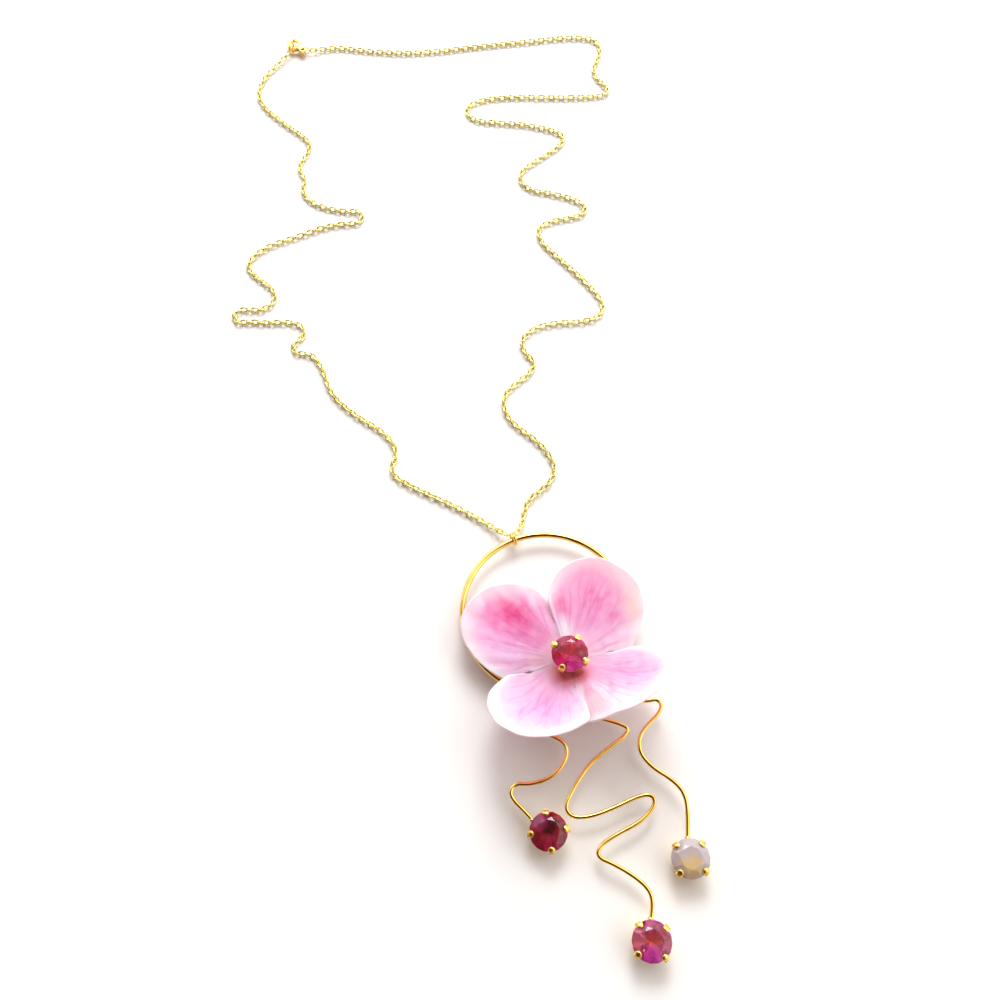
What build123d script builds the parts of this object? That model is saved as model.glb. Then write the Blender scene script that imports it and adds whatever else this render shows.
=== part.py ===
from build123d import *
from math import asin, atan2, cos, degrees, pi, radians, sin, sqrt, tan
import os

# A flower pendant on its closed neck chain, lying face up on a table.
# Millimetres. X runs to the right, +Y from the drops to the clasp, +Z up, and z = 0 is the table.
# The origin is the middle of the whole necklace on the table.

# Hoop: a ring of round wire that lies level above the table
HOOP_CENTRE = (26.2, -59.5)
HOOP_RADIUS = 19.5
HOOP_WIRE = 1.4
HOOP_HEIGHT = 3.0

# Hidden crossbar, and the pad in its middle with a hole for the setting's post
FLOWER_CENTRE = (31.15, -71.45)
BAR_WIRE = 0.8
BAR_HEIGHT = 2.8
PAD_DIAMETER = 4.6
PAD_THICKNESS = 0.8
PAD_HOLE = 1.6

# Setting of the flower's stone: a button on the table, a post, and a cup above the cloth
POST_DIAMETER = 1.3
BUTTON_DIAMETER = 7.0
BUTTON_THICKNESS = 2.2
FLOWER_CUP_HEIGHT = 4.9

# Four-prong cup, measured up from its own base
CUP_BASE_RADIUS = 2.6
CUP_RIM_RADIUS = 4.45
CUP_WALL = 0.37
CUP_FLOOR = 0.5
CUP_RIM_HEIGHT = 4.1
PRONG_WIDTH = 1.3
PRONG_COUNT = 4
PRONG_FOOT = (3.6, 2.7)
PRONG_LEDGE = (4.22, 4.05)
PRONG_INSIDE = (4.22, 4.62)
PRONG_TIP = (3.52, 5.16)
PRONG_TOP = (3.66, 5.48)
PRONG_SHOULDER = (4.62, 5.38)
PRONG_OUTSIDE = (4.9, 4.7)
PRONG_HEEL = (4.9, 4.0)
PRONG_BACK = (4.25, 2.7)

# Round stone of 8.3 mm, measured up from the base of its cup
STONE_RADIUS = 4.15
STONE_SIDES = 16
STONE_TABLE_RADIUS = 2.35
STONE_CULET = 0.65
GIRDLE_BOTTOM = 4.25
GIRDLE_TOP = 4.5
STONE_TOP = 5.85
STAR_ANGLE = 21.0
UPPER_HALF_ANGLE = 43.0
LOWER_HALF_ANGLE = 42.4

# Flower: one pressed cloth, thicker here than the real one
CLOTH = 1.0
HUB_RADIUS = 4.0
HUB_HOLE = 1.9
HUB_HEIGHT = 4.2
PETAL_ROOT = 3.2
EDGE_MARGIN = 1.5
# Each lobe: direction from the middle, slope of its chord and roll about it in degrees, height of its
# root, length from the middle, half width, dip of the chord's middle, radius of the hollow across it
PETALS = [
    # direction, slope, roll, root_height, length, half_width, dip, hollow_radius
    (154.5, 8.0, 0.0, 4.2, 26.0, 11.0, 1.0, 60.0),
    (59.7, 8.0, 0.0, 4.2, 25.4, 11.3, 1.0, 60.0),
    (236.5, 36.5, 17.0, 4.6, 27.2, 11.2, 4.0, 18.0),
    (327.0, 46.5, -18.0, 4.6, 27.8, 12.0, 2.8, 60.0),
]

# Drops: the wire of each one starts at an eye round the hoop and ends in the wall of its cup
DROP_WIRE = 0.8
EYE_INSIDE = 0.85
EYE_SHIFT = 0.1
WIRE_END_RADIUS = 3.7
WIRE_END_HEIGHT = 3.0
LEFT_EYE_ANGLE = -97.0
MIDDLE_EYE_ANGLE = -72.0
RIGHT_EYE_ANGLE = -46.0
LEFT_CUP = (25.8, -109.0)
MIDDLE_CUP = (46.4, -130.3)
RIGHT_CUP = (55.6, -114.4)
LEFT_CUP_TURN = 8.2
MIDDLE_CUP_TURN = 38.7
RIGHT_CUP_TURN = 48.6
FLOWER_CUP_TURN = 61.7
LEFT_WIRE_ARRIVES = 144.0
MIDDLE_WIRE_ARRIVES = 88.0
RIGHT_WIRE_ARRIVES = 92.0
# Corners of each wire between its eye and its cup, from the hoop outwards
LEFT_WIRE = [
    (22.3, -83.5, 3.1), (22.6, -87.7, 3.3), (26.6, -88.3, 3.4), (30.3, -90.3, 3.4),
    (30.2, -93.8, 3.3), (27.1, -97.6, 3.2), (22.2, -99.1, 3.2), (18.8, -98.9, 3.2),
    (17.6, -100.7, 3.2), (18.5, -102.5, 3.1), (20.7, -104.6, 3.1),
]
MIDDLE_WIRE = [
    (33.6, -82.5, 3.1), (36.9, -84.4, 3.3), (40.1, -85.3, 3.4), (42.6, -86.1, 3.4),
    (44.2, -87.0, 3.4), (43.4, -88.5, 3.4), (41.5, -89.9, 3.4), (38.5, -92.0, 3.3),
    (34.9, -95.0, 3.2), (31.4, -100.0, 3.2), (29.4, -103.9, 3.2), (31.1, -106.1, 3.2),
    (35.3, -105.8, 3.4), (40.7, -103.8, 3.5), (45.5, -101.5, 3.5), (48.5, -101.2, 3.4),
    (49.1, -103.0, 3.3), (47.6, -105.2, 3.2), (44.7, -107.4, 3.2), (40.3, -109.5, 3.1),
    (36.7, -111.7, 3.1), (36.0, -114.0, 3.1), (39.5, -115.4, 3.1), (43.9, -117.9, 3.1),
    (46.9, -120.6, 3.0), (47.3, -123.8, 3.0),
]
RIGHT_WIRE = [
    (42.3, -77.8, 3.1), (45.3, -80.5, 3.3), (48.8, -80.9, 3.4), (51.0, -80.3, 3.4),
    (52.0, -81.8, 3.4), (51.1, -83.7, 3.3), (48.5, -86.1, 3.2), (46.5, -88.7, 3.1),
    (46.3, -92.2, 3.1), (48.9, -95.5, 3.2), (53.2, -98.1, 3.2), (55.7, -101.0, 3.1),
    (56.0, -105.6, 3.0),
]

# Ring that hangs both ends of the chain on the hoop
HOOP_RING_ANGLE = 112.0
HOOP_RING_RADIUS = 1.5
HOOP_RING_WIRE = 0.55
HOOP_RING_OUT = 19.85
HOOP_RING_HEIGHT = 2.8

# Chain: two tubes as wide as its links, each along corners chosen in a list
CHAIN_WIDTH = 1.6
ARC_SHARE = 0.45
CHAIN_LEFT = [
    (17.2, -39.8, 2.4), (13.5, -37.0, 1.0), (8.5, -33.7, 0.8), (-0.1, -29.1, 0.8), (-8.1, -25.2, 0.8),
    (-12.6, -21.8, 0.8), (-10.5, -16.0, 0.8), (-14.1, -10.4, 0.8), (-21.7, -5.7, 0.8), (-29.1, 1.0, 0.8),
    (-31.6, 8.8, 0.8), (-34.9, 13.8, 0.8), (-39.6, 13.8, 0.8), (-40.6, 16.6, 0.8), (-37.6, 19.2, 0.8),
    (-38.1, 22.7, 0.8), (-42.1, 24.2, 0.8), (-47.9, 23.7, 0.8), (-52.3, 24.1, 0.8), (-56.3, 23.8, 0.8),
    (-57.6, 26.0, 0.8), (-56.2, 28.1, 0.8), (-53.2, 28.2, 0.8), (-49.9, 27.9, 0.8), (-46.5, 30.8, 0.8),
    (-47.3, 35.0, 0.8), (-51.9, 38.5, 0.8), (-55.6, 42.2, 0.8), (-54.5, 46.2, 0.8), (-49.9, 50.4, 0.8),
    (-42.5, 53.4, 0.8), (-34.9, 57.1, 0.8), (-29.7, 58.1, 0.8), (-25.4, 58.3, 0.8), (-24.0, 60.5, 0.8),
    (-25.5, 62.7, 0.8), (-28.6, 62.6, 0.8), (-32.4, 63.2, 0.8), (-38.9, 65.4, 0.8), (-42.6, 70.0, 0.8),
    (-41.6, 74.6, 0.8), (-44.7, 79.2, 0.8), (-41.1, 86.8, 0.8), (-43.0, 91.0, 0.8), (-49.3, 96.0, 0.8),
    (-56.1, 102.4, 0.8), (-59.5, 108.2, 0.8), (-58.6, 115.2, 0.8), (-54.7, 121.5, 1.0), (-51.3, 125.7, 1.6),
]
CHAIN_RIGHT = [
    (-44.4, 127.4, 1.4), (-41.3, 128.5, 0.9), (-35.5, 129.4, 0.8), (-26.3, 127.8, 0.8), (-15.7, 126.8, 0.8),
    (-3.7, 127.7, 0.8), (8.8, 130.0, 0.8), (22.8, 131.8, 0.8), (34.8, 133.8, 0.8), (42.1, 133.9, 0.8),
    (45.9, 132.8, 0.8), (47.5, 129.2, 0.8), (46.7, 124.6, 0.8), (44.4, 119.2, 0.8), (46.1, 115.2, 0.8),
    (48.6, 112.4, 0.8), (48.8, 109.4, 0.8), (45.9, 108.3, 0.8), (40.7, 107.8, 0.8), (31.3, 107.7, 0.8),
    (19.3, 108.0, 0.8), (10.9, 107.0, 0.8), (6.1, 104.7, 0.8), (5.1, 101.2, 0.8), (7.9, 98.2, 0.8),
    (13.7, 97.3, 0.8), (22.9, 96.6, 0.8), (30.3, 94.6, 0.8), (34.5, 92.6, 0.8), (34.4, 89.0, 0.8),
    (30.9, 85.6, 0.8), (25.3, 81.2, 0.8), (21.5, 77.4, 0.8), (21.6, 73.4, 0.8), (24.9, 70.5, 0.8),
    (30.7, 69.4, 0.8), (36.9, 67.4, 0.8), (40.3, 64.8, 0.8), (39.7, 61.5, 0.8), (35.7, 60.3, 0.8),
    (29.9, 59.0, 0.8), (26.5, 56.6, 0.8), (26.7, 52.2, 0.8), (30.5, 47.6, 0.8), (36.3, 41.2, 0.8),
    (41.9, 34.2, 0.8), (44.2, 29.8, 0.8), (42.5, 25.4, 0.8), (36.9, 24.0, 0.8), (30.3, 23.8, 0.8),
    (24.3, 21.9, 0.8), (21.0, 17.8, 0.8), (22.3, 14.0, 0.8), (24.9, 11.0, 0.8), (23.7, 7.8, 0.8),
    (19.9, 4.6, 0.8), (16.7, 1.2, 0.8), (16.5, -4.0, 0.8), (19.3, -8.2, 0.8), (24.7, -12.4, 0.8),
    (28.3, -16.8, 0.8), (29.6, -21.7, 0.8), (27.5, -25.5, 0.8), (22.6, -29.4, 0.8), (21.3, -33.7, 1.0),
    (20.7, -37.7, 1.8), (19.2, -39.5, 2.6),
]

# Clasp: a flat claw whose own x runs from its tail eye to its hook
CLASP_TAIL = (-47.0, 127.0)
CLASP_DIRECTION = 138.0
CLASP_BOTTOM = 0.85
CLASP_THICKNESS = 1.4
TAIL_EYE_RADIUS = 1.0
TAIL_EYE_HOLE = 0.5
CLAW_MIDDLE = 3.9
CLAW_OUTSIDE = 2.2
CLAW_INSIDE = 1.4
NECK_WIDTH = 1.2
PIVOT = (2.25, -0.95)
PIVOT_BOSS = 0.85
PIVOT_PIN = 0.25
PIVOT_HOLE = 0.3
SLOT_HEIGHT = 0.8
SLOT_MARGIN = 0.1
GATE_EDGE = 0.35
HOOK_REACH = 3.05
LEVER_REACH = 2.95
LEVER_THICKNESS = 0.64
LEVER_EYE = 0.7
LEVER_INSIDE = 1.5
LEVER_OUTSIDE = 2.1
KNOB_ANGLE = -115.0
KNOB_DISTANCE = 2.35
KNOB_RADIUS = 0.42

# Rings at the clasp: one through its claw, one through its tail eye
CLASP_RING_ANGLE = 115.0
CLASP_RING_OUT = 2.05
CLASP_RING_RADIUS = 1.55
CLASP_RING_WIRE = 0.5
CLASP_RING_HEIGHT = 1.8
TAIL_RING_ANGLE = 8.0
TAIL_RING_OUT = 0.95
TAIL_RING_RADIUS = 1.15
TAIL_RING_WIRE = 0.4

FULL_TURN = 360.0


def round_point(centre, angle, distance, height):
    """A point at a distance and angle round a centre, at a height above the table."""
    turn = radians(angle)
    return Vector(centre[0] + distance * cos(turn), centre[1] + distance * sin(turn), height)


def upright_plane(centre, angle, height):
    """A plane whose x points outwards at the angle and whose y points up."""
    turn = radians(angle)
    return Plane(
        origin=(centre[0], centre[1], height),
        x_dir=(cos(turn), sin(turn), 0),
        z_dir=(sin(turn), -cos(turn), 0),
    )


def corner_radii(corners):
    """The radius of each corner's arc, as large as the two runs beside it allow."""
    radii = []
    for before, corner, after in zip(corners, corners[1:], corners[2:]):
        run_in = Vector(*corner) - Vector(*before)
        run_out = Vector(*after) - Vector(*corner)
        half_turn = radians(run_in.get_angle(run_out) / 2)
        radii.append(ARC_SHARE * min(run_in.length, run_out.length) / tan(half_turn))
    return radii


def add_round_wire(corners, diameter):
    """Sweep a round section along straight runs and the arcs between them."""
    with BuildLine() as route:
        FilletPolyline(*corners, radius=corner_radii(corners))
    start = Plane(origin=route.line @ 0, z_dir=route.line % 0)
    with BuildSketch(start) as section:
        Circle(diameter / 2)
    sweep(section.sketch, path=route.line)
    return route.wire().length


def add_ring(centre, axis, radius, wire):
    """A round ring of wire, with its middle and its axis."""
    with Locations(Plane(origin=centre, z_dir=axis)):
        Torus(radius, wire / 2)


def add_cup(centre, base, turn):
    """A tapered cup with four prongs bent over the edge of its stone."""
    with BuildSketch(upright_plane(centre, 0, base)) as wall:
        with BuildLine():
            Polyline(
                (0, 0),
                (CUP_BASE_RADIUS, 0),
                (CUP_RIM_RADIUS, CUP_RIM_HEIGHT),
                (CUP_RIM_RADIUS - CUP_WALL, CUP_RIM_HEIGHT),
                (CUP_BASE_RADIUS - CUP_WALL, CUP_FLOOR),
                (0, CUP_FLOOR),
                close=True,
            )
        make_face()
    revolve(wall.sketch, axis=Axis((centre[0], centre[1], base), (0, 0, 1)))
    for number in range(PRONG_COUNT):
        angle = turn + number * FULL_TURN / PRONG_COUNT
        with BuildSketch(upright_plane(centre, angle, base)) as prong:
            with BuildLine():
                Polyline(PRONG_HEEL, PRONG_BACK, PRONG_FOOT, PRONG_LEDGE, PRONG_INSIDE, PRONG_TIP, PRONG_TOP)
                ThreePointArc(PRONG_TOP, PRONG_SHOULDER, PRONG_OUTSIDE)
                Line(PRONG_OUTSIDE, PRONG_HEEL)
            make_face()
        extrude(prong.sketch, amount=PRONG_WIDTH / 2, both=True)


def facet_plane(centre, base, azimuth, slope, distance, height):
    """The plane of one facet: its slope from level, and a point that it passes through."""
    turn = radians(azimuth)
    lean = radians(slope)
    return Plane(
        origin=round_point(centre, azimuth, distance, base + height),
        z_dir=(sin(lean) * cos(turn), sin(lean) * sin(turn), cos(lean)),
    )


def make_stone(name, centre, base, turn):
    """A round stone with a table, a crown and a pointed back, cut by flat facets."""
    half_side = 180 / STONE_SIDES
    apothem = STONE_RADIUS * cos(radians(half_side))
    main_slope = degrees(atan2(STONE_TOP - GIRDLE_TOP, STONE_RADIUS - STONE_TABLE_RADIUS))
    back_slope = degrees(atan2(GIRDLE_BOTTOM - STONE_CULET, STONE_RADIUS))
    star_distance = STONE_TABLE_RADIUS * cos(radians(2 * half_side))
    # slope, distance and height of each row of facets, its first azimuth, and how many there are
    rows = [
        (main_slope, STONE_RADIUS, GIRDLE_TOP, 0.0, 8),
        (UPPER_HALF_ANGLE, apothem, GIRDLE_TOP, half_side, 16),
        (STAR_ANGLE, star_distance, STONE_TOP, 2 * half_side, 8),
        (180 - back_slope, STONE_RADIUS, GIRDLE_BOTTOM, 0.0, 8),
        (180 - LOWER_HALF_ANGLE, apothem, GIRDLE_BOTTOM, half_side, 16),
    ]
    with BuildPart() as stone:
        with BuildSketch(Plane(origin=(centre[0], centre[1], base + STONE_CULET))):
            RegularPolygon(STONE_RADIUS, STONE_SIDES, rotation=turn)
        extrude(amount=STONE_TOP - STONE_CULET)
        for slope, distance, height, first, count in rows:
            for number in range(count):
                azimuth = turn + first + number * FULL_TURN / count
                split(
                    bisect_by=facet_plane(centre, base, azimuth, slope, distance, height),
                    keep=Keep.BOTTOM,
                )
    stone.part.label = name
    export_step(stone.part, f"parts/{name}.step")
    return stone.part


def make_drop(name, eye_angle, corners, cup_centre, cup_turn, arrives):
    """One drop: an eye round the hoop, a wavy wire and a cup, soldered into one piece."""
    eye_radius = EYE_INSIDE + DROP_WIRE / 2
    eye_distance = HOOP_RADIUS + EYE_SHIFT
    start = round_point(HOOP_CENTRE, eye_angle, eye_distance + eye_radius, HOOP_HEIGHT)
    end = round_point(cup_centre, arrives, WIRE_END_RADIUS, WIRE_END_HEIGHT)
    path = [tuple(start), *corners, tuple(end)]
    tangent = (-sin(radians(eye_angle)), cos(radians(eye_angle)), 0)
    with BuildPart() as drop:
        length = add_round_wire(path, DROP_WIRE)
        eye_middle = round_point(HOOP_CENTRE, eye_angle, eye_distance, HOOP_HEIGHT)
        add_ring(eye_middle, tangent, eye_radius, DROP_WIRE)
        add_cup(cup_centre, 0, cup_turn)
    drop.part.label = name
    export_step(drop.part, f"parts/{name}.step")
    print(name, "wire length", round(length, 1))
    print(name, "radii", [round(radius, 1) for radius in corner_radii(path)])
    return drop.part


def make_chain(name, corners):
    """One side of the chain as a tube along its route."""
    with BuildPart() as chain:
        length = add_round_wire(corners, CHAIN_WIDTH)
    chain.part.label = name
    export_step(chain.part, f"parts/{name}.step")
    section = pi * CHAIN_WIDTH**2 / 4
    print(name, "length", round(length, 1), "volume share", round(chain.part.volume / section / length, 4))
    print(name, "radii", [round(radius, 1) for radius in corner_radii(corners)])
    return chain.part


def petal_plane(direction, slope, roll, root_height):
    """The plane of one lobe's chord: its x runs from the root to the tip."""
    turn = radians(direction)
    lift = radians(slope)
    along = Vector(cos(turn) * cos(lift), sin(turn) * cos(lift), sin(lift))
    normal = Vector(-cos(turn) * sin(lift), -sin(turn) * sin(lift), cos(lift))
    normal = normal.rotate(Axis((0, 0, 0), along), roll)
    root = round_point(FLOWER_CENTRE, direction, PETAL_ROOT, root_height)
    return Plane(origin=root, x_dir=along, z_dir=normal)


def petal_outline(plane, length, half_width):
    """The flat outline of one lobe: a round end joined to its root by two straight edges."""
    reach = length - PETAL_ROOT
    from_hub = length - half_width
    edge_angle = asin(half_width / from_hub)
    tangent_length = sqrt(from_hub**2 - half_width**2)
    edge_x = tangent_length * cos(edge_angle) - PETAL_ROOT
    edge_y = tangent_length * sin(edge_angle)
    root_half = PETAL_ROOT * tan(edge_angle)
    with BuildSketch(plane) as outline:
        with BuildLine():
            Line((0, -root_half), (edge_x, -edge_y))
            ThreePointArc((edge_x, -edge_y), (reach, 0), (edge_x, edge_y))
            Line((edge_x, edge_y), (0, root_half))
            Line((0, root_half), (0, -root_half))
        make_face()
    return outline.sketch


def petal(direction, slope, roll, root_height, length, half_width, dip, hollow_radius):
    """One lobe of the cloth: a hollow dished wall, cut to a round outline with a narrow root."""
    chord = petal_plane(direction, slope, roll, root_height)
    side_view = Plane(origin=chord.origin, x_dir=chord.x_dir, z_dir=-chord.y_dir)
    past_tip = length - PETAL_ROOT + EDGE_MARGIN
    half = CLOTH / 2
    sweep_angle = degrees(asin((half_width + EDGE_MARGIN) / hollow_radius))
    with BuildPart() as lobe:
        with BuildSketch(side_view) as wall:
            with BuildLine():
                ThreePointArc((0, -half), (past_tip / 2, -dip - half), (past_tip, -half))
                Line((past_tip, -half), (past_tip, half))
                ThreePointArc((past_tip, half), (past_tip / 2, half - dip), (0, half))
                Line((0, half), (0, -half))
            make_face()
        hollow_axis = Axis(chord.origin + chord.z_dir * hollow_radius, chord.x_dir)
        revolve(wall.sketch, axis=hollow_axis, revolution_arc=sweep_angle)
        mirror(about=side_view)
        outline = petal_outline(chord, length, half_width)
        extrude(outline, amount=2 * half_width, both=True, mode=Mode.INTERSECT)
    return lobe.part


def clasp_plane(height):
    """The claw's own plane at a height above the table."""
    turn = radians(CLASP_DIRECTION)
    return Plane(origin=(*CLASP_TAIL, height), x_dir=(cos(turn), sin(turn), 0), z_dir=(0, 0, 1))


os.makedirs("parts", exist_ok=True)

# Hoop, crossbar and pad are soldered into one piece
with BuildPart() as hoop:
    with Locations(Plane(origin=(*HOOP_CENTRE, HOOP_HEIGHT))):
        Torus(HOOP_RADIUS, HOOP_WIRE / 2)
    bar_offset = HOOP_CENTRE[1] - FLOWER_CENTRE[1]
    bar_half = sqrt(HOOP_RADIUS**2 - bar_offset**2)
    bar_start = Plane(
        origin=(HOOP_CENTRE[0] - bar_half, FLOWER_CENTRE[1], BAR_HEIGHT),
        x_dir=(0, 1, 0),
        z_dir=(1, 0, 0),
    )
    with BuildSketch(bar_start):
        Circle(BAR_WIRE / 2)
    extrude(amount=2 * bar_half)
    pad_plane = Plane(origin=(*FLOWER_CENTRE, BAR_HEIGHT - PAD_THICKNESS / 2))
    with BuildSketch(pad_plane):
        Circle(PAD_DIAMETER / 2)
    extrude(amount=PAD_THICKNESS)
    with BuildSketch(pad_plane):
        Circle(PAD_HOLE / 2)
    extrude(amount=PAD_THICKNESS, mode=Mode.SUBTRACT)
hoop.part.label = "hoop"
export_step(hoop.part, "parts/hoop.step")

# Flower: the fourth lobe ends under the edge of the third, and all four join a flat middle
petals = [petal(*row) for row in PETALS]
third_length, third_half_width = PETALS[2][4:6]
third_outline = petal_outline(petal_plane(*PETALS[2][:4]), third_length, third_half_width)
with BuildPart() as lower_lobe:
    add(petals[3])
    extrude(third_outline, amount=2 * third_half_width, both=True, mode=Mode.SUBTRACT)
with BuildPart() as flower:
    with BuildSketch(Plane(origin=(*FLOWER_CENTRE, HUB_HEIGHT - CLOTH / 2))):
        Circle(HUB_RADIUS)
    extrude(amount=CLOTH)
    for lobe in petals[:3]:
        add(lobe)
    add(lower_lobe.part)
    with BuildSketch(Plane(origin=(*FLOWER_CENTRE, 0))):
        Circle(HUB_HOLE / 2)
    extrude(amount=2 * HUB_HEIGHT, mode=Mode.SUBTRACT)
flower.part.label = "flower"
export_step(flower.part, "parts/flower.step")

# Setting of the flower's stone, with its post and backing button
with BuildPart() as flower_setting:
    with BuildSketch(Plane(origin=(*FLOWER_CENTRE, 0))):
        Circle(BUTTON_DIAMETER / 2)
    extrude(amount=BUTTON_THICKNESS)
    with BuildSketch(Plane(origin=(*FLOWER_CENTRE, 0))):
        Circle(POST_DIAMETER / 2)
    extrude(amount=FLOWER_CUP_HEIGHT + CUP_FLOOR / 2)
    add_cup(FLOWER_CENTRE, FLOWER_CUP_HEIGHT, FLOWER_CUP_TURN)
flower_setting.part.label = "flower_setting"
export_step(flower_setting.part, "parts/flower_setting.step")

# The three drops, and the four stones in their cups
drop_left = make_drop(
    "drop_left", LEFT_EYE_ANGLE, LEFT_WIRE, LEFT_CUP, LEFT_CUP_TURN, LEFT_WIRE_ARRIVES
)
drop_middle = make_drop(
    "drop_middle", MIDDLE_EYE_ANGLE, MIDDLE_WIRE, MIDDLE_CUP, MIDDLE_CUP_TURN, MIDDLE_WIRE_ARRIVES
)
drop_right = make_drop(
    "drop_right", RIGHT_EYE_ANGLE, RIGHT_WIRE, RIGHT_CUP, RIGHT_CUP_TURN, RIGHT_WIRE_ARRIVES
)
flower_stone = make_stone("flower_stone", FLOWER_CENTRE, FLOWER_CUP_HEIGHT, FLOWER_CUP_TURN)
stone_left = make_stone("stone_left", LEFT_CUP, 0, LEFT_CUP_TURN)
stone_middle = make_stone("stone_middle", MIDDLE_CUP, 0, MIDDLE_CUP_TURN)
stone_right = make_stone("stone_right", RIGHT_CUP, 0, RIGHT_CUP_TURN)

# Ring round the hoop, upright, in line with the hoop's radius
with BuildPart() as hoop_ring:
    add_ring(
        round_point(HOOP_CENTRE, HOOP_RING_ANGLE, HOOP_RING_OUT, HOOP_RING_HEIGHT),
        (-sin(radians(HOOP_RING_ANGLE)), cos(radians(HOOP_RING_ANGLE)), 0),
        HOOP_RING_RADIUS,
        HOOP_RING_WIRE,
    )
hoop_ring.part.label = "hoop_ring"
export_step(hoop_ring.part, "parts/hoop_ring.step")

chain_left = make_chain("chain_left", CHAIN_LEFT)
chain_right = make_chain("chain_right", CHAIN_RIGHT)

# Clasp body: tail eye, neck, and an open claw with a slot for the lever's eye
CLASP_MIDDLE = CLASP_BOTTOM + CLASP_THICKNESS / 2
with BuildPart() as clasp_body:
    with BuildSketch(clasp_plane(CLASP_BOTTOM)):
        Circle(TAIL_EYE_RADIUS)
        with Locations((CLAW_MIDDLE / 2 - CLAW_INSIDE / 2, 0)):
            Rectangle(CLAW_MIDDLE - CLAW_INSIDE, NECK_WIDTH)
        with Locations((CLAW_MIDDLE, 0)):
            Circle(CLAW_OUTSIDE)
        with Locations(PIVOT):
            Circle(PIVOT_BOSS)
        with Locations((CLAW_MIDDLE, 0)):
            Circle(CLAW_INSIDE, mode=Mode.SUBTRACT)
        Circle(TAIL_EYE_HOLE, mode=Mode.SUBTRACT)
    extrude(amount=CLASP_THICKNESS)
    # The gate: all of the claw's ring on the lever's side, between the boss and the hook
    with BuildSketch(clasp_plane(CLASP_BOTTOM)) as gate:
        with Locations(PIVOT):
            Circle(HOOK_REACH)
            Circle(PIVOT_BOSS, mode=Mode.SUBTRACT)
        with Locations((PIVOT[0] + HOOK_REACH / 2, -HOOK_REACH / 2 - GATE_EDGE)):
            Rectangle(HOOK_REACH, HOOK_REACH, mode=Mode.INTERSECT)
    extrude(amount=CLASP_THICKNESS, mode=Mode.SUBTRACT)
    # The slot that the lever's eye turns in, with the pin left standing
    with BuildSketch(clasp_plane(CLASP_MIDDLE - SLOT_HEIGHT / 2)):
        with Locations(PIVOT):
            Circle(PIVOT_BOSS + SLOT_MARGIN)
            Circle(PIVOT_PIN, mode=Mode.SUBTRACT)
    extrude(amount=SLOT_HEIGHT, mode=Mode.SUBTRACT)
clasp_body.part.label = "clasp_body"
export_step(clasp_body.part, "parts/clasp_body.step")

# Clasp lever: eye, curved arm and thumb knob
with BuildPart() as clasp_lever:
    with BuildSketch(clasp_plane(CLASP_MIDDLE - LEVER_THICKNESS / 2)):
        with Locations((CLAW_MIDDLE, 0)):
            Circle(LEVER_OUTSIDE)
            Circle(LEVER_INSIDE, mode=Mode.SUBTRACT)
        with Locations(PIVOT):
            Circle(LEVER_REACH, mode=Mode.INTERSECT)
        with Locations((PIVOT[0] + LEVER_REACH / 2, PIVOT[1] - LEVER_REACH / 2)):
            Rectangle(LEVER_REACH, LEVER_REACH, mode=Mode.INTERSECT)
        with Locations(PIVOT):
            Circle(LEVER_EYE)
        knob = round_point((CLAW_MIDDLE, 0), KNOB_ANGLE, KNOB_DISTANCE, 0)
        with Locations((knob.X, knob.Y)):
            Circle(KNOB_RADIUS)
        with Locations(PIVOT):
            Circle(PIVOT_HOLE, mode=Mode.SUBTRACT)
    extrude(amount=LEVER_THICKNESS)
clasp_lever.part.label = "clasp_lever"
export_step(clasp_lever.part, "parts/clasp_lever.step")

# Rings at the clasp, both upright
claw_turn = radians(CLASP_DIRECTION)
claw_middle = (
    CLASP_TAIL[0] + CLAW_MIDDLE * cos(claw_turn),
    CLASP_TAIL[1] + CLAW_MIDDLE * sin(claw_turn),
)
ring_angle = CLASP_DIRECTION + CLASP_RING_ANGLE
with BuildPart() as clasp_ring:
    add_ring(
        round_point(claw_middle, ring_angle, CLASP_RING_OUT, CLASP_RING_HEIGHT),
        (-sin(radians(ring_angle)), cos(radians(ring_angle)), 0),
        CLASP_RING_RADIUS,
        CLASP_RING_WIRE,
    )
clasp_ring.part.label = "clasp_ring"
export_step(clasp_ring.part, "parts/clasp_ring.step")

with BuildPart() as tail_ring:
    add_ring(
        round_point(CLASP_TAIL, TAIL_RING_ANGLE, TAIL_RING_OUT, CLASP_MIDDLE),
        (-sin(radians(TAIL_RING_ANGLE)), cos(radians(TAIL_RING_ANGLE)), 0),
        TAIL_RING_RADIUS,
        TAIL_RING_WIRE,
    )
tail_ring.part.label = "tail_ring"
export_step(tail_ring.part, "parts/tail_ring.step")
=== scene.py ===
from math import atan2, cos, degrees, pi, radians, sin, sqrt

import bmesh
import bpy
import numpy as np
from mathutils import Matrix, Vector, noise


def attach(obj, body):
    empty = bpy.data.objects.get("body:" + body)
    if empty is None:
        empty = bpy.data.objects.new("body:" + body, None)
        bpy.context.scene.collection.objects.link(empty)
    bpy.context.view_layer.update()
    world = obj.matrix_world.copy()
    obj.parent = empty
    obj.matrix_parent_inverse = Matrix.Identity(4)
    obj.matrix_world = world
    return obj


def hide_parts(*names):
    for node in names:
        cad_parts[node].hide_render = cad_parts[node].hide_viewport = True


# The flower pendant's looks: polished gold-coloured wire, foiled round stones,
# a pressed cloth flower and a fine chain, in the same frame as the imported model

bl_info = {
    "name": "Flower pendant necklace",
    "version": (1, 0, 0),
    "blender": (4, 5, 0),
    "location": "3D View > Sidebar > Pendant",
    "description": "Builds a flower pendant on its neck chain",
    "category": "Add Mesh",
}

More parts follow.
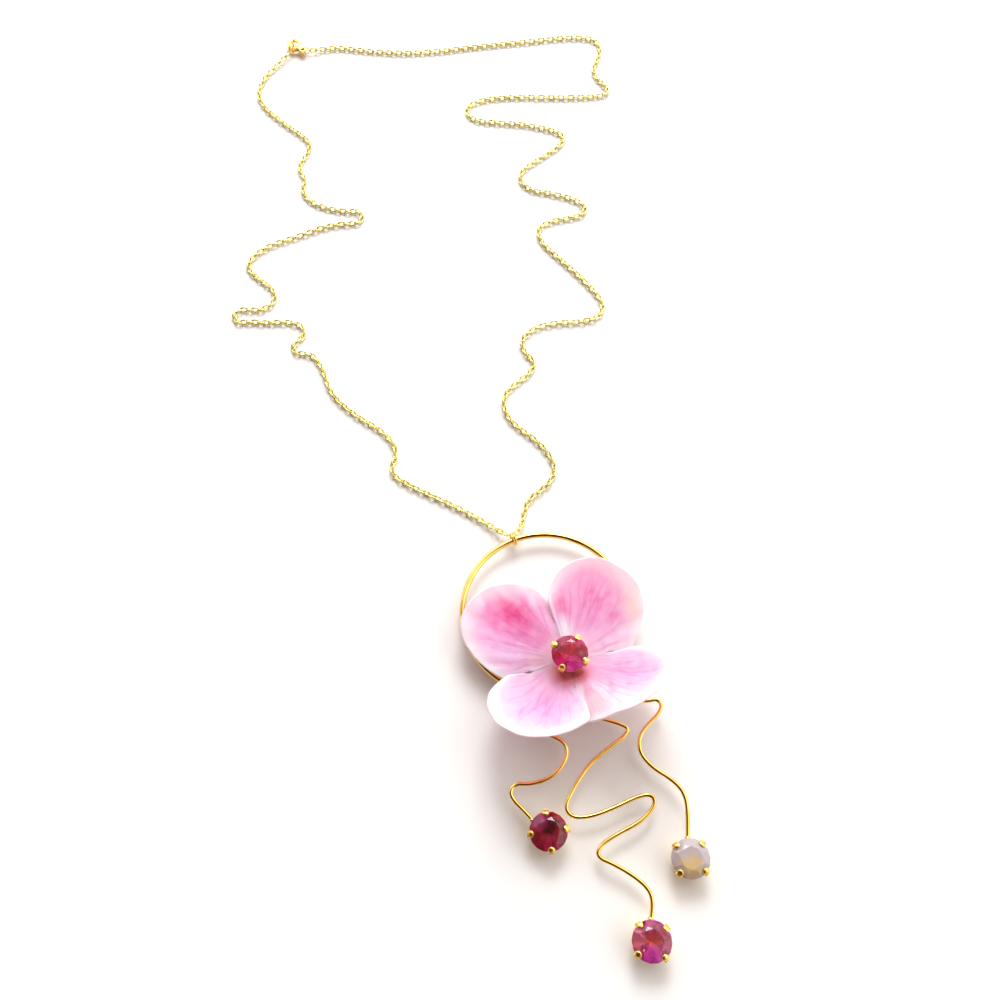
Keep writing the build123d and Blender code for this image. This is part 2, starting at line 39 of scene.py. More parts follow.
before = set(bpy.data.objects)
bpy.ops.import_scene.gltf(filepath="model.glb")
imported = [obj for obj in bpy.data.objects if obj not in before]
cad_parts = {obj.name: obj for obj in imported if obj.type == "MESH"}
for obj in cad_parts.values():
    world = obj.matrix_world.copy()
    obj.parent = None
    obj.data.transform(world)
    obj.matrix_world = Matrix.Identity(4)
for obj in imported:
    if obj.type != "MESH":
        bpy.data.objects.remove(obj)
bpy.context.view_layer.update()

MM = 0.001

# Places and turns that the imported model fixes, in millimetres and degrees
HOOP_CENTRE = (26.2, -59.5)
HOOP_RADIUS = 19.5
HOOP_HEIGHT = 3.0
FLOWER_CENTRE = (31.15, -71.45)
FLOWER_CUP_HEIGHT = 4.9
FLOWER_CUP_TURN = 61.7
BAR_HEIGHT = 2.8
BAR_WIRE = 0.8
HANGING_RING_ANGLE = 112.0
HANGING_RING_TURN = 0.75
HANGING_RING_OUT = 19.9
HANGING_RING_HEIGHT = 2.8
HANGING_RING_RADIUS = 1.45
HANGING_RING_WIRE = 0.5

# Side views of the pad on the crossbar and of the setting's button, post and collar, as distance from
# the middle and height above the bar or the table
PAD_SIDE = [(0.8, -0.4), (2.2, -0.4), (2.3, -0.3), (2.3, 1.0), (2.2, 1.1), (0.8, 1.1), (0.8, -0.4)]
BUTTON_SIDE = [
    (0.0, 0.0), (3.3, 0.0), (3.45, 0.1), (3.5, 0.3), (3.5, 1.5), (3.4, 1.85), (3.1, 2.1), (2.6, 2.2),
    (0.65, 2.2), (0.65, 4.5), (1.6, 4.5), (1.6, 5.1), (0.0, 5.1),
]

# Drops: the eye round the hoop, where the wire ends in its cup, and the bead of solder there
EYE_INSIDE = 0.85
EYE_SHIFT = 0.1
WIRE_END_RADIUS = 3.7
WIRE_END_HEIGHT = 3.0
SOLDER_OUT = 4.15
SOLDER_RADIUS = 0.62

# Each drop: turn of its eye round the hoop, cup's place and turn, the direction its wire arrives from,
# and the corners of its wire
DROPS = {
    "left": {
        "eye": -97.0, "cup": (25.8, -109.0), "turn": 8.2, "arrives": 144.0,
        "corners": [
            (22.3, -83.5, 3.1), (22.6, -87.7, 3.3), (26.6, -88.3, 3.4), (30.3, -90.3, 3.4),
            (30.2, -93.8, 3.3), (27.1, -97.6, 3.2), (22.2, -99.1, 3.2), (18.8, -98.9, 3.2),
            (17.6, -100.7, 3.2), (18.5, -102.5, 3.1), (20.7, -104.6, 3.1),
        ],
    },
    "middle": {
        "eye": -72.0, "cup": (46.4, -130.3), "turn": 38.7, "arrives": 88.0,
        "corners": [
            (33.6, -82.5, 3.1), (36.9, -84.4, 3.3), (40.1, -85.3, 3.4), (42.6, -86.1, 3.4),
            (44.2, -87.0, 3.4), (43.4, -88.5, 3.4), (41.5, -89.9, 3.4), (38.5, -92.0, 3.3),
            (34.9, -95.0, 3.2), (31.4, -100.0, 3.2), (29.4, -103.9, 3.2), (31.1, -106.1, 3.2),
            (35.3, -105.8, 3.4), (40.7, -103.8, 3.5), (45.5, -101.5, 3.5), (48.5, -101.2, 3.4),
            (49.1, -103.0, 3.3), (47.6, -105.2, 3.2), (44.7, -107.4, 3.2), (40.3, -109.5, 3.1),
            (36.7, -111.7, 3.1), (36.0, -114.0, 3.1), (39.5, -115.4, 3.1), (43.9, -117.9, 3.1),
            (46.9, -120.6, 3.0), (47.3, -123.8, 3.0),
        ],
    },
    "right": {
        "eye": -46.0, "cup": (55.6, -114.4), "turn": 48.6, "arrives": 92.0,
        "corners": [
            (42.3, -77.8, 3.1), (45.3, -80.5, 3.3), (48.8, -80.9, 3.4), (51.0, -80.3, 3.4),
            (52.0, -81.8, 3.4), (51.1, -83.7, 3.3), (48.5, -86.1, 3.2), (46.5, -88.7, 3.1),
            (46.3, -92.2, 3.1), (48.9, -95.5, 3.2), (53.2, -98.1, 3.2), (55.7, -101.0, 3.1),
            (56.0, -105.6, 3.0),
        ],
    },
}

# Corners of the chain's two sides
CHAIN_LEFT = [
    (17.2, -39.8, 2.4), (13.5, -37.0, 1.0), (8.5, -33.7, 0.8), (-0.1, -29.1, 0.8), (-8.1, -25.2, 0.8),
    (-12.6, -21.8, 0.8), (-10.5, -16.0, 0.8), (-14.1, -10.4, 0.8), (-21.7, -5.7, 0.8), (-29.1, 1.0, 0.8),
    (-31.6, 8.8, 0.8), (-34.9, 13.8, 0.8), (-39.6, 13.8, 0.8), (-40.6, 16.6, 0.8), (-37.6, 19.2, 0.8),
    (-38.1, 22.7, 0.8), (-42.1, 24.2, 0.8), (-47.9, 23.7, 0.8), (-52.3, 24.1, 0.8), (-56.3, 23.8, 0.8),
    (-57.6, 26.0, 0.8), (-56.2, 28.1, 0.8), (-53.2, 28.2, 0.8), (-49.9, 27.9, 0.8), (-46.5, 30.8, 0.8),
    (-47.3, 35.0, 0.8), (-51.9, 38.5, 0.8), (-55.6, 42.2, 0.8), (-54.5, 46.2, 0.8), (-49.9, 50.4, 0.8),
    (-42.5, 53.4, 0.8), (-34.9, 57.1, 0.8), (-29.7, 58.1, 0.8), (-25.4, 58.3, 0.8), (-24.0, 60.5, 0.8),
    (-25.5, 62.7, 0.8), (-28.6, 62.6, 0.8), (-32.4, 63.2, 0.8), (-38.9, 65.4, 0.8), (-42.6, 70.0, 0.8),
    (-41.6, 74.6, 0.8), (-44.7, 79.2, 0.8), (-41.1, 86.8, 0.8), (-43.0, 91.0, 0.8), (-49.3, 96.0, 0.8),
    (-56.1, 102.4, 0.8), (-59.5, 108.2, 0.8), (-58.6, 115.2, 0.8), (-54.7, 121.5, 1.0), (-51.3, 125.7, 1.6),
]
CHAIN_RIGHT = [
    (-44.4, 127.4, 1.4), (-41.3, 128.5, 0.9), (-35.5, 129.4, 0.8), (-26.3, 127.8, 0.8), (-15.7, 126.8, 0.8),
    (-3.7, 127.7, 0.8), (8.8, 130.0, 0.8), (22.8, 131.8, 0.8), (34.8, 133.8, 0.8), (42.1, 133.9, 0.8),
    (45.9, 132.8, 0.8), (47.5, 129.2, 0.8), (46.7, 124.6, 0.8), (44.4, 119.2, 0.8), (46.1, 115.2, 0.8),
    (48.6, 112.4, 0.8), (48.8, 109.4, 0.8), (45.9, 108.3, 0.8), (40.7, 107.8, 0.8), (31.3, 107.7, 0.8),
    (19.3, 108.0, 0.8), (10.9, 107.0, 0.8), (6.1, 104.7, 0.8), (5.1, 101.2, 0.8), (7.9, 98.2, 0.8),
    (13.7, 97.3, 0.8), (22.9, 96.6, 0.8), (30.3, 94.6, 0.8), (34.5, 92.6, 0.8), (34.4, 89.0, 0.8),
    (30.9, 85.6, 0.8), (25.3, 81.2, 0.8), (21.5, 77.4, 0.8), (21.6, 73.4, 0.8), (24.9, 70.5, 0.8),
    (30.7, 69.4, 0.8), (36.9, 67.4, 0.8), (40.3, 64.8, 0.8), (39.7, 61.5, 0.8), (35.7, 60.3, 0.8),
    (29.9, 59.0, 0.8), (26.5, 56.6, 0.8), (26.7, 52.2, 0.8), (30.5, 47.6, 0.8), (36.3, 41.2, 0.8),
    (41.9, 34.2, 0.8), (44.2, 29.8, 0.8), (42.5, 25.4, 0.8), (36.9, 24.0, 0.8), (30.3, 23.8, 0.8),
    (24.3, 21.9, 0.8), (21.0, 17.8, 0.8), (22.3, 14.0, 0.8), (24.9, 11.0, 0.8), (23.7, 7.8, 0.8),
    (19.9, 4.6, 0.8), (16.7, 1.2, 0.8), (16.5, -4.0, 0.8), (19.3, -8.2, 0.8), (24.7, -12.4, 0.8),
    (28.3, -16.8, 0.8), (29.6, -21.7, 0.8), (27.5, -25.5, 0.8), (22.6, -29.4, 0.8), (21.3, -33.7, 1.0),
    (20.7, -37.7, 1.8), (19.2, -39.5, 2.6),
]

# Side view of a cup's wall and of one prong, as distance from its middle and height above its base
CUP_WALL = [
    (0.0, 0.0), (2.5, 0.0), (2.64, 0.1), (4.1, 3.85), (4.08, 3.93), (3.92, 3.93), (3.84, 3.85),
    (2.23, 0.5), (0.0, 0.5),
]
PRONG_SIDE = [(4.62, 4.0), (4.1, 2.45), (3.3, 2.45), (4.22, 4.05), (4.22, 5.0), (4.62, 5.0)]
PRONG_WIDTH = 1.3
PRONG_ROUNDING = 0.16
PRONG_COUNT = 4
# The prong's filed head: the three half sizes of its dome, and its middle, in the plane of PRONG_SIDE
PRONG_HEAD = (0.84, 0.80, 0.40)
PRONG_HEAD_PLACE = (3.92, 4.98)
# The stone's crown under the head: its slope in degrees, and the gap between the two
CROWN_SLOPE = 36.9
CROWN_GAP = 0.07

# Round stone: its sizes, with the heights above the base of its cup, the slopes of its facets in
# degrees, and how strongly its glass bends light
STONE_RADIUS = 4.15
STONE_SIDES = 16
STONE_TABLE_RADIUS = 2.35
STONE_CULET = 0.65
GIRDLE_BOTTOM = 4.25
GIRDLE_TOP = 4.5
STONE_TOP = 5.85
STAR_ANGLE = 21.0
UPPER_HALF_ANGLE = 43.0
LOWER_HALF_ANGLE = 42.4
GLASS_IOR = 1.56

# Flower: the four lobes share their cloth as far out as the slits between them
CLOTH_MIDDLE_HEIGHT = 4.2
CLOTH_HOLE = 0.95
SLIT_START = 8.0
SLIT_BLEND = 1.6
PETAL_ROOT = 3.2
# How far past its length a lobe's chord runs, the angle where its sides are lifted in full, the
# distances between which it rises from the level middle, how uneven its rim is cut, the height of its
# creases, and the rows of points along it up to the slits and beyond
CHORD_MARGIN = 1.5
SIDE_FULL_ANGLE = 44.0
LEVEL_MIDDLE = (2.5, 6.5)
RIM_UNEVEN = 0.1
CREASE_HEIGHT = 0.07
INNER_ROWS = 22
OUTER_ROWS = 46
# Each lobe: the direction, slope and roll of its chord in degrees, the height of its root, its length,
# the dip of the chord and the radius of the hollow across it, the angles of its two sides while it is
# still joined to its neighbours, how far those sides lift or sink further out, and its rim as angle from
# the lobe's direction and distance from the flower's middle
LOBES = [
    {
        "direction": 154.5, "slope": 8.0, "roll": 0.0, "root": 4.2, "length": 26.0, "dip": 1.0,
        "hollow": 60.0, "joined": (-46.5, 42.0), "lifts": (-0.7, -0.6), "starts": (26.0, 26.0),
        "sinks_from": (7.5, 12.0), "rises_from": (7.5, 12.0), "low_side": 1, "high_side": 2,
        "rim": [
            (-46.5, 14.5), (-40.0, 18.5), (-30.0, 21.5), (-16.0, 25.0), (0.0, 26.5), (12.0, 25.5),
            (24.0, 22.0), (34.0, 18.5), (44.5, 15.0),
        ],
    },
    {
        "direction": 59.7, "slope": 8.0, "roll": 0.0, "root": 4.2, "length": 25.4, "dip": 1.0,
        "hollow": 60.0, "joined": (-47.7, 48.3), "lifts": (-0.3, 0.2), "starts": (20.0, 26.0),
        "sinks_from": (6.0, 20.0), "rises_from": (7.5, 12.0), "low_side": 3, "high_side": 0,
        "rim": [
            (-50.5, 14.5), (-40.0, 17.0), (-26.0, 21.5), (-12.0, 24.5), (4.0, 25.5), (16.0, 25.0),
            (30.0, 22.5), (40.0, 19.0), (48.0, 14.5),
        ],
    },
    {
        "direction": 236.5, "slope": 36.5, "roll": 17.0, "root": 4.6, "length": 27.2, "dip": 4.0,
        "hollow": 18.0, "joined": (-40.0, 43.0), "lifts": (0.5, 1.0), "starts": (26.0, 20.0),
        "sinks_from": (7.5, 12.0), "rises_from": (6.0, 20.0), "low_side": 0, "high_side": 3,
        "rim": [
            (-42.5, 14.5), (-35.0, 19.0), (-28.0, 22.0), (-16.0, 25.5), (-2.0, 28.0), (5.0, 28.5),
            (15.0, 24.5), (30.0, 22.0), (37.0, 20.0), (41.5, 13.5),
        ],
    },
    {
        "direction": 327.0, "slope": 46.5, "roll": -18.0, "root": 4.6, "length": 27.8, "dip": 2.8,
        "hollow": 60.0, "joined": (-47.5, 45.0), "lifts": (-4.0, 0.5), "starts": (14.0, 25.0),
        "sinks_from": (3.0, 18.0), "rises_from": (6.0, 20.0), "low_side": 2, "high_side": 1,
        "rim": [
            (-46.0, 14.0), (-30.0, 19.0), (-18.0, 24.0), (-9.0, 27.0), (4.0, 27.5), (18.0, 26.0),
            (28.0, 23.0), (41.0, 17.5), (46.0, 14.5), (47.5, 11.0),
        ],
    },
]
# Dyed areas: the lobe, the middle in the flat cloth, the two radii, the turn in degrees, the colour as
# a screen shows it, and the strength
DYE = [
    (0, (-12.5, 5.5), (13.5, 9.0), -12.0, (0.925, 0.60, 0.79), 0.95),
    (0, (-12.2, 9.4), (8.4, 4.4), -20.0, (0.90, 0.40, 0.67), 0.9),
    (0, (-12.4, 10.5), (5.4, 2.6), -22.0, (0.80, 0.22, 0.53), 0.9),
    (0, (-7.6, 4.6), (3.8, 2.6), -32.0, (0.92, 0.45, 0.68), 0.6),
    (0, (-6.4, -0.4), (4.0, 2.6), 0.0, (0.80, 0.64, 0.66), 0.45),
    (0, (-24.0, 2.5), (3.0, 5.0), 10.0, (0.94, 0.80, 0.72), 0.5),
    (1, (5.2, 12.8), (10.5, 11.0), 15.0, (0.925, 0.60, 0.78), 0.95),
    (1, (6.0, 10.5), (5.5, 4.5), 0.0, (0.93, 0.53, 0.74), 0.5),
    (1, (-1.2, 12.4), (1.8, 3.8), 12.0, (0.86, 0.42, 0.63), 0.85),
    (1, (-0.6, 7.4), (1.6, 3.4), 8.0, (0.97, 0.88, 0.92), 0.8),
    (1, (-3.6, 19.0), (2.6, 5.0), -15.0, (0.96, 0.90, 0.93), 0.8),
    (1, (18.0, 13.5), (5.0, 10.5), 12.0, (0.95, 0.84, 0.81), 0.85),
    (1, (15.4, 12.4), (1.5, 2.6), 10.0, (0.87, 0.70, 0.58), 0.6),
    (2, (-7.0, -9.6), (13.6, 9.2), 50.0, (0.93, 0.60, 0.76), 0.9),
    (2, (-4.6, -11.5), (3.6, 7.0), -15.0, (0.92, 0.56, 0.75), 0.6),
    (3, (11.0, -3.4), (14.0, 6.2), -10.0, (0.92, 0.55, 0.73), 0.9),
    (3, (15.0, -6.6), (7.5, 2.4), -24.0, (0.93, 0.64, 0.78), 0.5),
    (3, (2.8, -8.5), (1.8, 5.0), 20.0, (0.96, 0.84, 0.84), 0.7),
    (3, (8.0, -12.0), (4.5, 6.0), -20.0, (0.93, 0.76, 0.78), 0.7),
]
PALE_BODY = (0.95, 0.79, 0.85)
LOWER_PALE_BODY = (0.92, 0.79, 0.86)
RIM_EDGE = (0.94, 0.87, 0.89)
LOWER_RIM_EDGE = (0.95, 0.92, 0.935)
WARM_ROOT = (0.97, 0.74, 0.80)
# Painted shadow and red reflection of the flower's stone on the cloth under it, with a painted pink halo
# round it
STONE_RED_SHADOW = (0.50, 0.02, 0.07)
STONE_SHADOW_HALO = (0.94, 0.38, 0.50)
VEIN_SHADE = (0.93, 0.74, 0.87)
PALE_PATCH = (1.0, 0.93, 0.96)
# The painted shadow and red reflection of the flower's stone on the cloth: its middle in the flat cloth and
# its two radii
STONE_SHADOW_PLACE = (0.6, -3.6)
STONE_SHADOW_RADII = (3.5, 2.2)

# Each stone's place, the height of its cup's base, its turn and its material slot
STONES = {
    "flower_stone": (FLOWER_CENTRE, FLOWER_CUP_HEIGHT, FLOWER_CUP_TURN, "red_stone"),
    "stone_left": (DROPS["left"]["cup"], 0.0, DROPS["left"]["turn"], "rose_stone"),
    "stone_middle": (DROPS["middle"]["cup"], 0.0, DROPS["middle"]["turn"], "purple_stone"),
    "stone_right": (DROPS["right"]["cup"], 0.0, DROPS["right"]["turn"], "milky_stone"),
}

# Clasp: its tail, its direction and the middle of its claw
CLASP_TAIL = (-47.0, 127.0)
CLASP_DIRECTION = 138.0
CLASP_MIDDLE_HEIGHT = 1.55
CLAW_MIDDLE = 3.9
CLASP_ROUNDING = 0.12
# The rings at the claw and at the tail: the angle round either, the distance out, the height of the
# middle, the radius and the wire
CLAW_RING = (CLASP_DIRECTION + 115.0, 2.05, 1.8, 1.55, 0.5)
TAIL_RING = (8.0, 0.95, CLASP_MIDDLE_HEIGHT, 1.15, 0.4)

# Stage, in metres: half a side of the floor, the key light's width, place and aim, and the camera's
# place, tilt in degrees and lens in millimetres
FLOOR_REACH = 3.0
KEY_SIZE = 0.5
KEY_PLACE = (0.05, 0.72, 0.72)
KEY_AIM = (0.02, -0.05, 0.0)
CAMERA_PLACE = (0.0155, -0.1332, 0.223)
CAMERA_TILT = 25.0
CAMERA_LENS = 35.3


def linear(colour):
    """A colour as a screen shows it, in the render's linear values."""
    return tuple(c / 12.92 if c <= 0.04045 else ((c + 0.055) / 1.055) ** 2.4 for c in colour)


def smooth_step(low, high, value):
    """0 below low, 1 above high, and a soft S between them."""
    share = min(max((value - low) / (high - low), 0.0), 1.0)
    return share * share * (3 - 2 * share)


def round_point(centre, angle, distance, height):
    """A point at a distance and angle round a centre, in metres."""
    turn = radians(angle)
    return Vector((centre[0] + distance * cos(turn), centre[1] + distance * sin(turn), height)) * MM


def sideways(angle):
    """The level direction square to an angle, which a ring that hangs there turns about."""
    turn = radians(angle)
    return (-sin(turn), cos(turn), 0)


def place_at(centre, height=0.0, turn=0.0):
    """The move from a piece's own middle to its place, with a turn about the vertical."""
    return Matrix.Translation(Vector((*centre, height)) * MM) @ Matrix.Rotation(radians(turn), 4, "Z")


def finish_piece(name, bm, materials, sharp=35.0, flat=False):
    """The bmesh as an object of its own at the origin, with its sharp edges marked."""
    if not flat:
        bmesh.ops.recalc_face_normals(bm, faces=bm.faces)
    mesh = bpy.data.meshes.new(name)
    bm.to_mesh(mesh)
    bm.free()
    if flat:
        mesh.shade_flat()
    else:
        mesh.shade_smooth()
        mesh.set_sharp_from_angle(angle=radians(sharp))
    for material in materials:
        mesh.materials.append(material)
    obj = bpy.data.objects.new(name, mesh)
    bpy.context.scene.collection.objects.link(obj)
    return obj


def declare(obj, body, node):
    """Ties a finished piece to its body and hides the imported node that it stands for."""
    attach(obj, body)
    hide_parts(node)


def add_ring(bm, centre, axis, radius, wire, steps=48, sides=12):
    """A closed ring of round wire, in metres."""
    turn = Vector((0, 0, 1)).rotation_difference(Vector(axis)).to_matrix().to_4x4()
    place = Matrix.Translation(centre) @ turn
    section = place @ Matrix.Translation((radius, 0, 0)) @ Matrix.Rotation(pi / 2, 4, "X")
    made = bmesh.ops.create_circle(bm, segments=sides, radius=wire / 2, matrix=section)["verts"]
    edges = list(dict.fromkeys(edge for vert in made for edge in vert.link_edges))
    bmesh.ops.spin(
        bm, geom=made + edges, cent=centre, axis=axis, dvec=(0, 0, 0), angle=2 * pi, steps=steps,
        use_merge=True, use_normal_flip=False, use_duplicate=False,
    )


def add_turned(bm, outline, place, steps=64):
    """A solid of revolution from the side view of one half of it."""
    verts = [bm.verts.new(place @ (Vector((x, 0, z)) * MM)) for x, z in outline]
    edges = [bm.edges.new(pair) for pair in zip(verts, verts[1:])]
    axis = place.to_3x3() @ Vector((0, 0, 1))
    bmesh.ops.spin(
        bm, geom=verts + edges, cent=place.translation, axis=axis, dvec=(0, 0, 0), angle=2 * pi,
        steps=steps, use_merge=True, use_normal_flip=False, use_duplicate=False,
    )


def merge_points(bm, distance=0.00001):
    """Joins the points that meet, such as those on an axis."""
    bmesh.ops.remove_doubles(bm, verts=bm.verts, dist=distance)


def join_into(bm, part):
    """Moves all of one bmesh into another."""
    mesh = bpy.data.meshes.new("part")
    part.to_mesh(mesh)
    part.free()
    bm.from_mesh(mesh)
    bpy.data.meshes.remove(mesh)


def line_mesh(corners, diameter=0.0, around=4, along=8):
    """The mesh of a smooth line that is drawn towards its corners, bare or as a round wire."""
    curve = bpy.data.curves.new("line", "CURVE")
    curve.dimensions = "3D"
    spline = curve.splines.new("NURBS")
    spline.points.add(len(corners) - 1)
    for point, corner in zip(spline.points, corners):
        point.co = (*(Vector(corner) * MM), 1.0)
    spline.order_u = 3
    spline.use_endpoint_u = True
    spline.resolution_u = along
    curve.bevel_depth = diameter / 2 * MM
    curve.bevel_resolution = around
    curve.use_fill_caps = diameter > 0
    holder = bpy.data.objects.new("line", curve)
    bpy.context.scene.collection.objects.link(holder)
    bpy.context.view_layer.update()
    mesh = bpy.data.meshes.new_from_object(holder.evaluated_get(bpy.context.evaluated_depsgraph_get()))
    bpy.data.objects.remove(holder)
    bpy.data.curves.remove(curve)
    return mesh


def add_wire(bm, corners, diameter):
    """A round wire along its corners."""
    mesh = line_mesh(corners, diameter, around=5, along=10)
    bm.from_mesh(mesh)
    bpy.data.meshes.remove(mesh)


def add_prong(bm, place):
    """One prong: a rounded shaft outside the stone and a filed head that lies on its crown."""
    verts = [bm.verts.new((x * MM, -PRONG_WIDTH / 2 * MM, z * MM)) for x, z in PRONG_SIDE]
    out = bmesh.ops.extrude_face_region(bm, geom=[bm.faces.new(verts)])["geom"]
    moved = [item for item in out if isinstance(item, bmesh.types.BMVert)]
    bmesh.ops.translate(bm, verts=moved, vec=(0, PRONG_WIDTH * MM, 0))
    bmesh.ops.bevel(
        bm, geom=bm.edges[:], offset=PRONG_ROUNDING * MM, segments=3, profile=0.5, affect="EDGES",
        material=-1, clamp_overlap=True,
    )
    head = bmesh.new()
    lean = Matrix.Rotation(radians(CROWN_SLOPE), 4, "Y")
    middle = Vector((PRONG_HEAD_PLACE[0], 0, PRONG_HEAD_PLACE[1])) * MM
    shape = Matrix.Translation(middle) @ lean @ Matrix.Diagonal((*(Vector(PRONG_HEAD) * MM), 1.0))
    bmesh.ops.create_uvsphere(head, u_segments=24, v_segments=14, radius=1.0, matrix=shape)
    crown = Vector((sin(radians(CROWN_SLOPE)), 0, cos(radians(CROWN_SLOPE))))
    level = Vector((STONE_RADIUS, 0, GIRDLE_TOP)) * MM + crown * CROWN_GAP * MM
    bmesh.ops.bisect_plane(
        head, geom=head.verts[:] + head.edges[:] + head.faces[:], dist=1e-8, plane_co=level,
        plane_no=crown, clear_inner=True,
    )
    rim = [edge for edge in head.edges if edge.is_boundary]
    if rim:
        bmesh.ops.contextual_create(head, geom=rim)
    join_into(bm, head)
    bmesh.ops.transform(bm, matrix=place, verts=bm.verts)


def add_cup(bm, centre, base, turn):
    """A tapered cup with its four prongs, in the second material."""
    before = len(bm.faces)
    add_turned(bm, CUP_WALL, place_at(centre, base))
    merge_points(bm)
    for number in range(PRONG_COUNT):
        prong = bmesh.new()
        add_prong(prong, place_at(centre, base, turn + 360 / PRONG_COUNT * number))
        join_into(bm, prong)
    bm.faces.ensure_lookup_table()
    for face in bm.faces[before:]:
        face.material_index = 1


def paint(colour):
    """A colour as a screen shows it, as a shader's input takes it."""
    return (*linear(colour), 1.0)


class Graph:
    """The nodes of one material, node group or world, with short ways to add more."""

    def __init__(self, tree):
        self.nodes = tree.nodes
        self.links = tree.links

    def fill(self, node, inputs):
        """Gives each input of a node its value, or joins it to what another node puts out."""
        for name, value in inputs.items():
            if isinstance(value, bpy.types.NodeSocket):
                self.links.new(value, node.inputs[name])
            else:
                node.inputs[name].default_value = value

    def add(self, kind, inputs, **settings):
        """One node with its settings and its inputs."""
        node = self.nodes.new(kind)
        for name, value in settings.items():
            setattr(node, name, value)
        self.fill(node, inputs)
        return node

    def where(self):
        """The place on the piece, in its object's coordinates."""
        return self.nodes.new("ShaderNodeTexCoord").outputs["Object"]

    def attribute(self, name, output):
        """One of the piece's own attributes."""
        return self.add("ShaderNodeAttribute", {}, attribute_name=name).outputs[output]

    def noise(self, where, scale, detail=2.0):
        """A soft noise of about 0.5."""
        inputs = {"Vector": where, "Scale": scale, "Detail": detail}
        return self.add("ShaderNodeTexNoise", inputs).outputs["Fac"]

    def vector(self, operation, inputs, output="Vector"):
        """One sum with places or directions."""
        return self.add("ShaderNodeVectorMath", inputs, operation=operation).outputs[output]

    def math(self, operation, *values):
        """One sum with numbers."""
        return self.add("ShaderNodeMath", dict(enumerate(values)), operation=operation).outputs[0]

    def spread(self, value, low, high, to_low=0.0, to_high=1.0, interpolation="LINEAR"):
        """A value between low and high, spread over another range and held at its ends."""
        inputs = {"Value": value, "From Min": low, "From Max": high, "To Min": to_low, "To Max": to_high}
        node = self.add("ShaderNodeMapRange", inputs, interpolation_type=interpolation)
        return node.outputs["Result"]

    def mix(self, share, first, second, blend="MIX"):
        """A colour between two others."""
        inputs = {"Factor": share, "A": first, "B": second}
        node = self.add("ShaderNodeMix", inputs, data_type="RGBA", blend_type=blend)
        return node.outputs["Result"]

    def bump(self, strength, distance, height):
        """The normal of a surface with fine relief."""
        inputs = {"Strength": strength, "Distance": distance, "Height": height}
        return self.add("ShaderNodeBump", inputs).outputs["Normal"]


def new_material(name):
    """A material with its nodes and its shader."""
    material = bpy.data.materials.new(name)
    material.use_nodes = True
    graph = Graph(material.node_tree)
    return material, graph, graph.nodes["Principled BSDF"]


def wear_group():
    """Fine tool marks and softly worn patches, for metal: a height, a roughness and a tarnish."""
    if "fine marks" in bpy.data.node_groups:
        return bpy.data.node_groups["fine marks"]
    group = bpy.data.node_groups.new("fine marks", "ShaderNodeTree")
    for name, value in (("Scale", 1.0), ("Polish", 0.12), ("Spread", 0.12)):
        socket = group.interface.new_socket(name=name, in_out="INPUT", socket_type="NodeSocketFloat")
        socket.default_value = value
    for name in ("Height", "Roughness", "Tarnish"):
        group.interface.new_socket(name=name, in_out="OUTPUT", socket_type="NodeSocketFloat")
    graph = Graph(group)
    given = graph.nodes.new("NodeGroupInput").outputs
    scaled = graph.vector("SCALE", {0: graph.where(), "Scale": given["Scale"]})
    marks = graph.noise(scaled, 2600.0, 3.0)
    patches = graph.noise(scaled, 260.0, 4.0)
    rough = graph.math("MULTIPLY_ADD", patches, given["Spread"], given["Polish"])
    tarnish = graph.spread(patches, 0.42, 0.72)
    out = graph.nodes.new("NodeGroupOutput")
    graph.fill(out, {"Height": marks, "Roughness": rough, "Tarnish": tarnish})
    return group


def metal_material(name, colour, deep, polish, spread, marks):
    """Polished gold-coloured metal with fine marks and a little tarnish, made once."""
    if name in bpy.data.materials:
        return bpy.data.materials[name]
    material, graph, shader = new_material(name)
    given = {"Scale": 1.0, "Polish": polish, "Spread": spread}
    wear = graph.add("ShaderNodeGroup", given, node_tree=wear_group()).outputs
    graph.fill(shader, {
        "Metallic": 1.0,
        "Base Color": graph.mix(wear["Tarnish"], paint(colour), paint(deep)),
        "Roughness": wear["Roughness"],
        "Normal": graph.bump(marks, 0.00002, wear["Height"]),
    })
    return material


def gold():
    """The hoop, wires and rings."""
    look = bpy.context.scene.pendant_metal
    return metal_material("polished gold", look.gold, look.gold_shade, look.polish, 0.06, 0.08)


def cup_gold():
    """The cups and their filed prongs, duller than the hoop."""
    look = bpy.context.scene.pendant_metal
    return metal_material("filed gold", look.gold, look.gold_shade, look.polish + 0.14, 0.1, 0.12)


def chain_gold():
    """The chain's links, a little paler than the hoop."""
    look = bpy.context.scene.pendant_metal
    return metal_material("chain gold", look.chain_gold, look.chain_shade, look.polish + 0.05, 0.08, 0.08)


def colour_setting(name, description, colour):
    """A colour that the panel shows, as a screen shows it."""
    return bpy.props.FloatVectorProperty(
        name=name, description=description, default=colour, subtype="COLOR_GAMMA", min=0, max=1
    )


def length_setting(name, description, millimetres):
    """A length that the panel shows."""
    return bpy.props.FloatProperty(
        name=name, description=description, default=millimetres * MM, unit="LENGTH"
    )


class PendantMetal(bpy.types.PropertyGroup):
    """Sizes and colours of the metal."""

    hoop_wire: length_setting("Hoop wire", "Thickness of the hoop's wire", 1.4)
    drop_wire: length_setting("Drop wire", "Thickness of the wavy wires", 0.92)
    gold: colour_setting("Gold", "Colour of the polished metal", (0.98, 0.86, 0.49))
    gold_shade: colour_setting("Tarnish", "Colour of the metal where it has darkened", (0.93, 0.75, 0.37))
    chain_gold: colour_setting("Chain", "Colour of the chain's links", (0.96, 0.91, 0.57))
    chain_shade: colour_setting(
        "Chain tarnish", "Colour of the links where they have darkened", (0.90, 0.82, 0.44)
    )
    polish: bpy.props.FloatProperty(
        name="Roughness", description="Lowest roughness of the polished metal", default=0.09, min=0, max=1,
        subtype="FACTOR",
    )


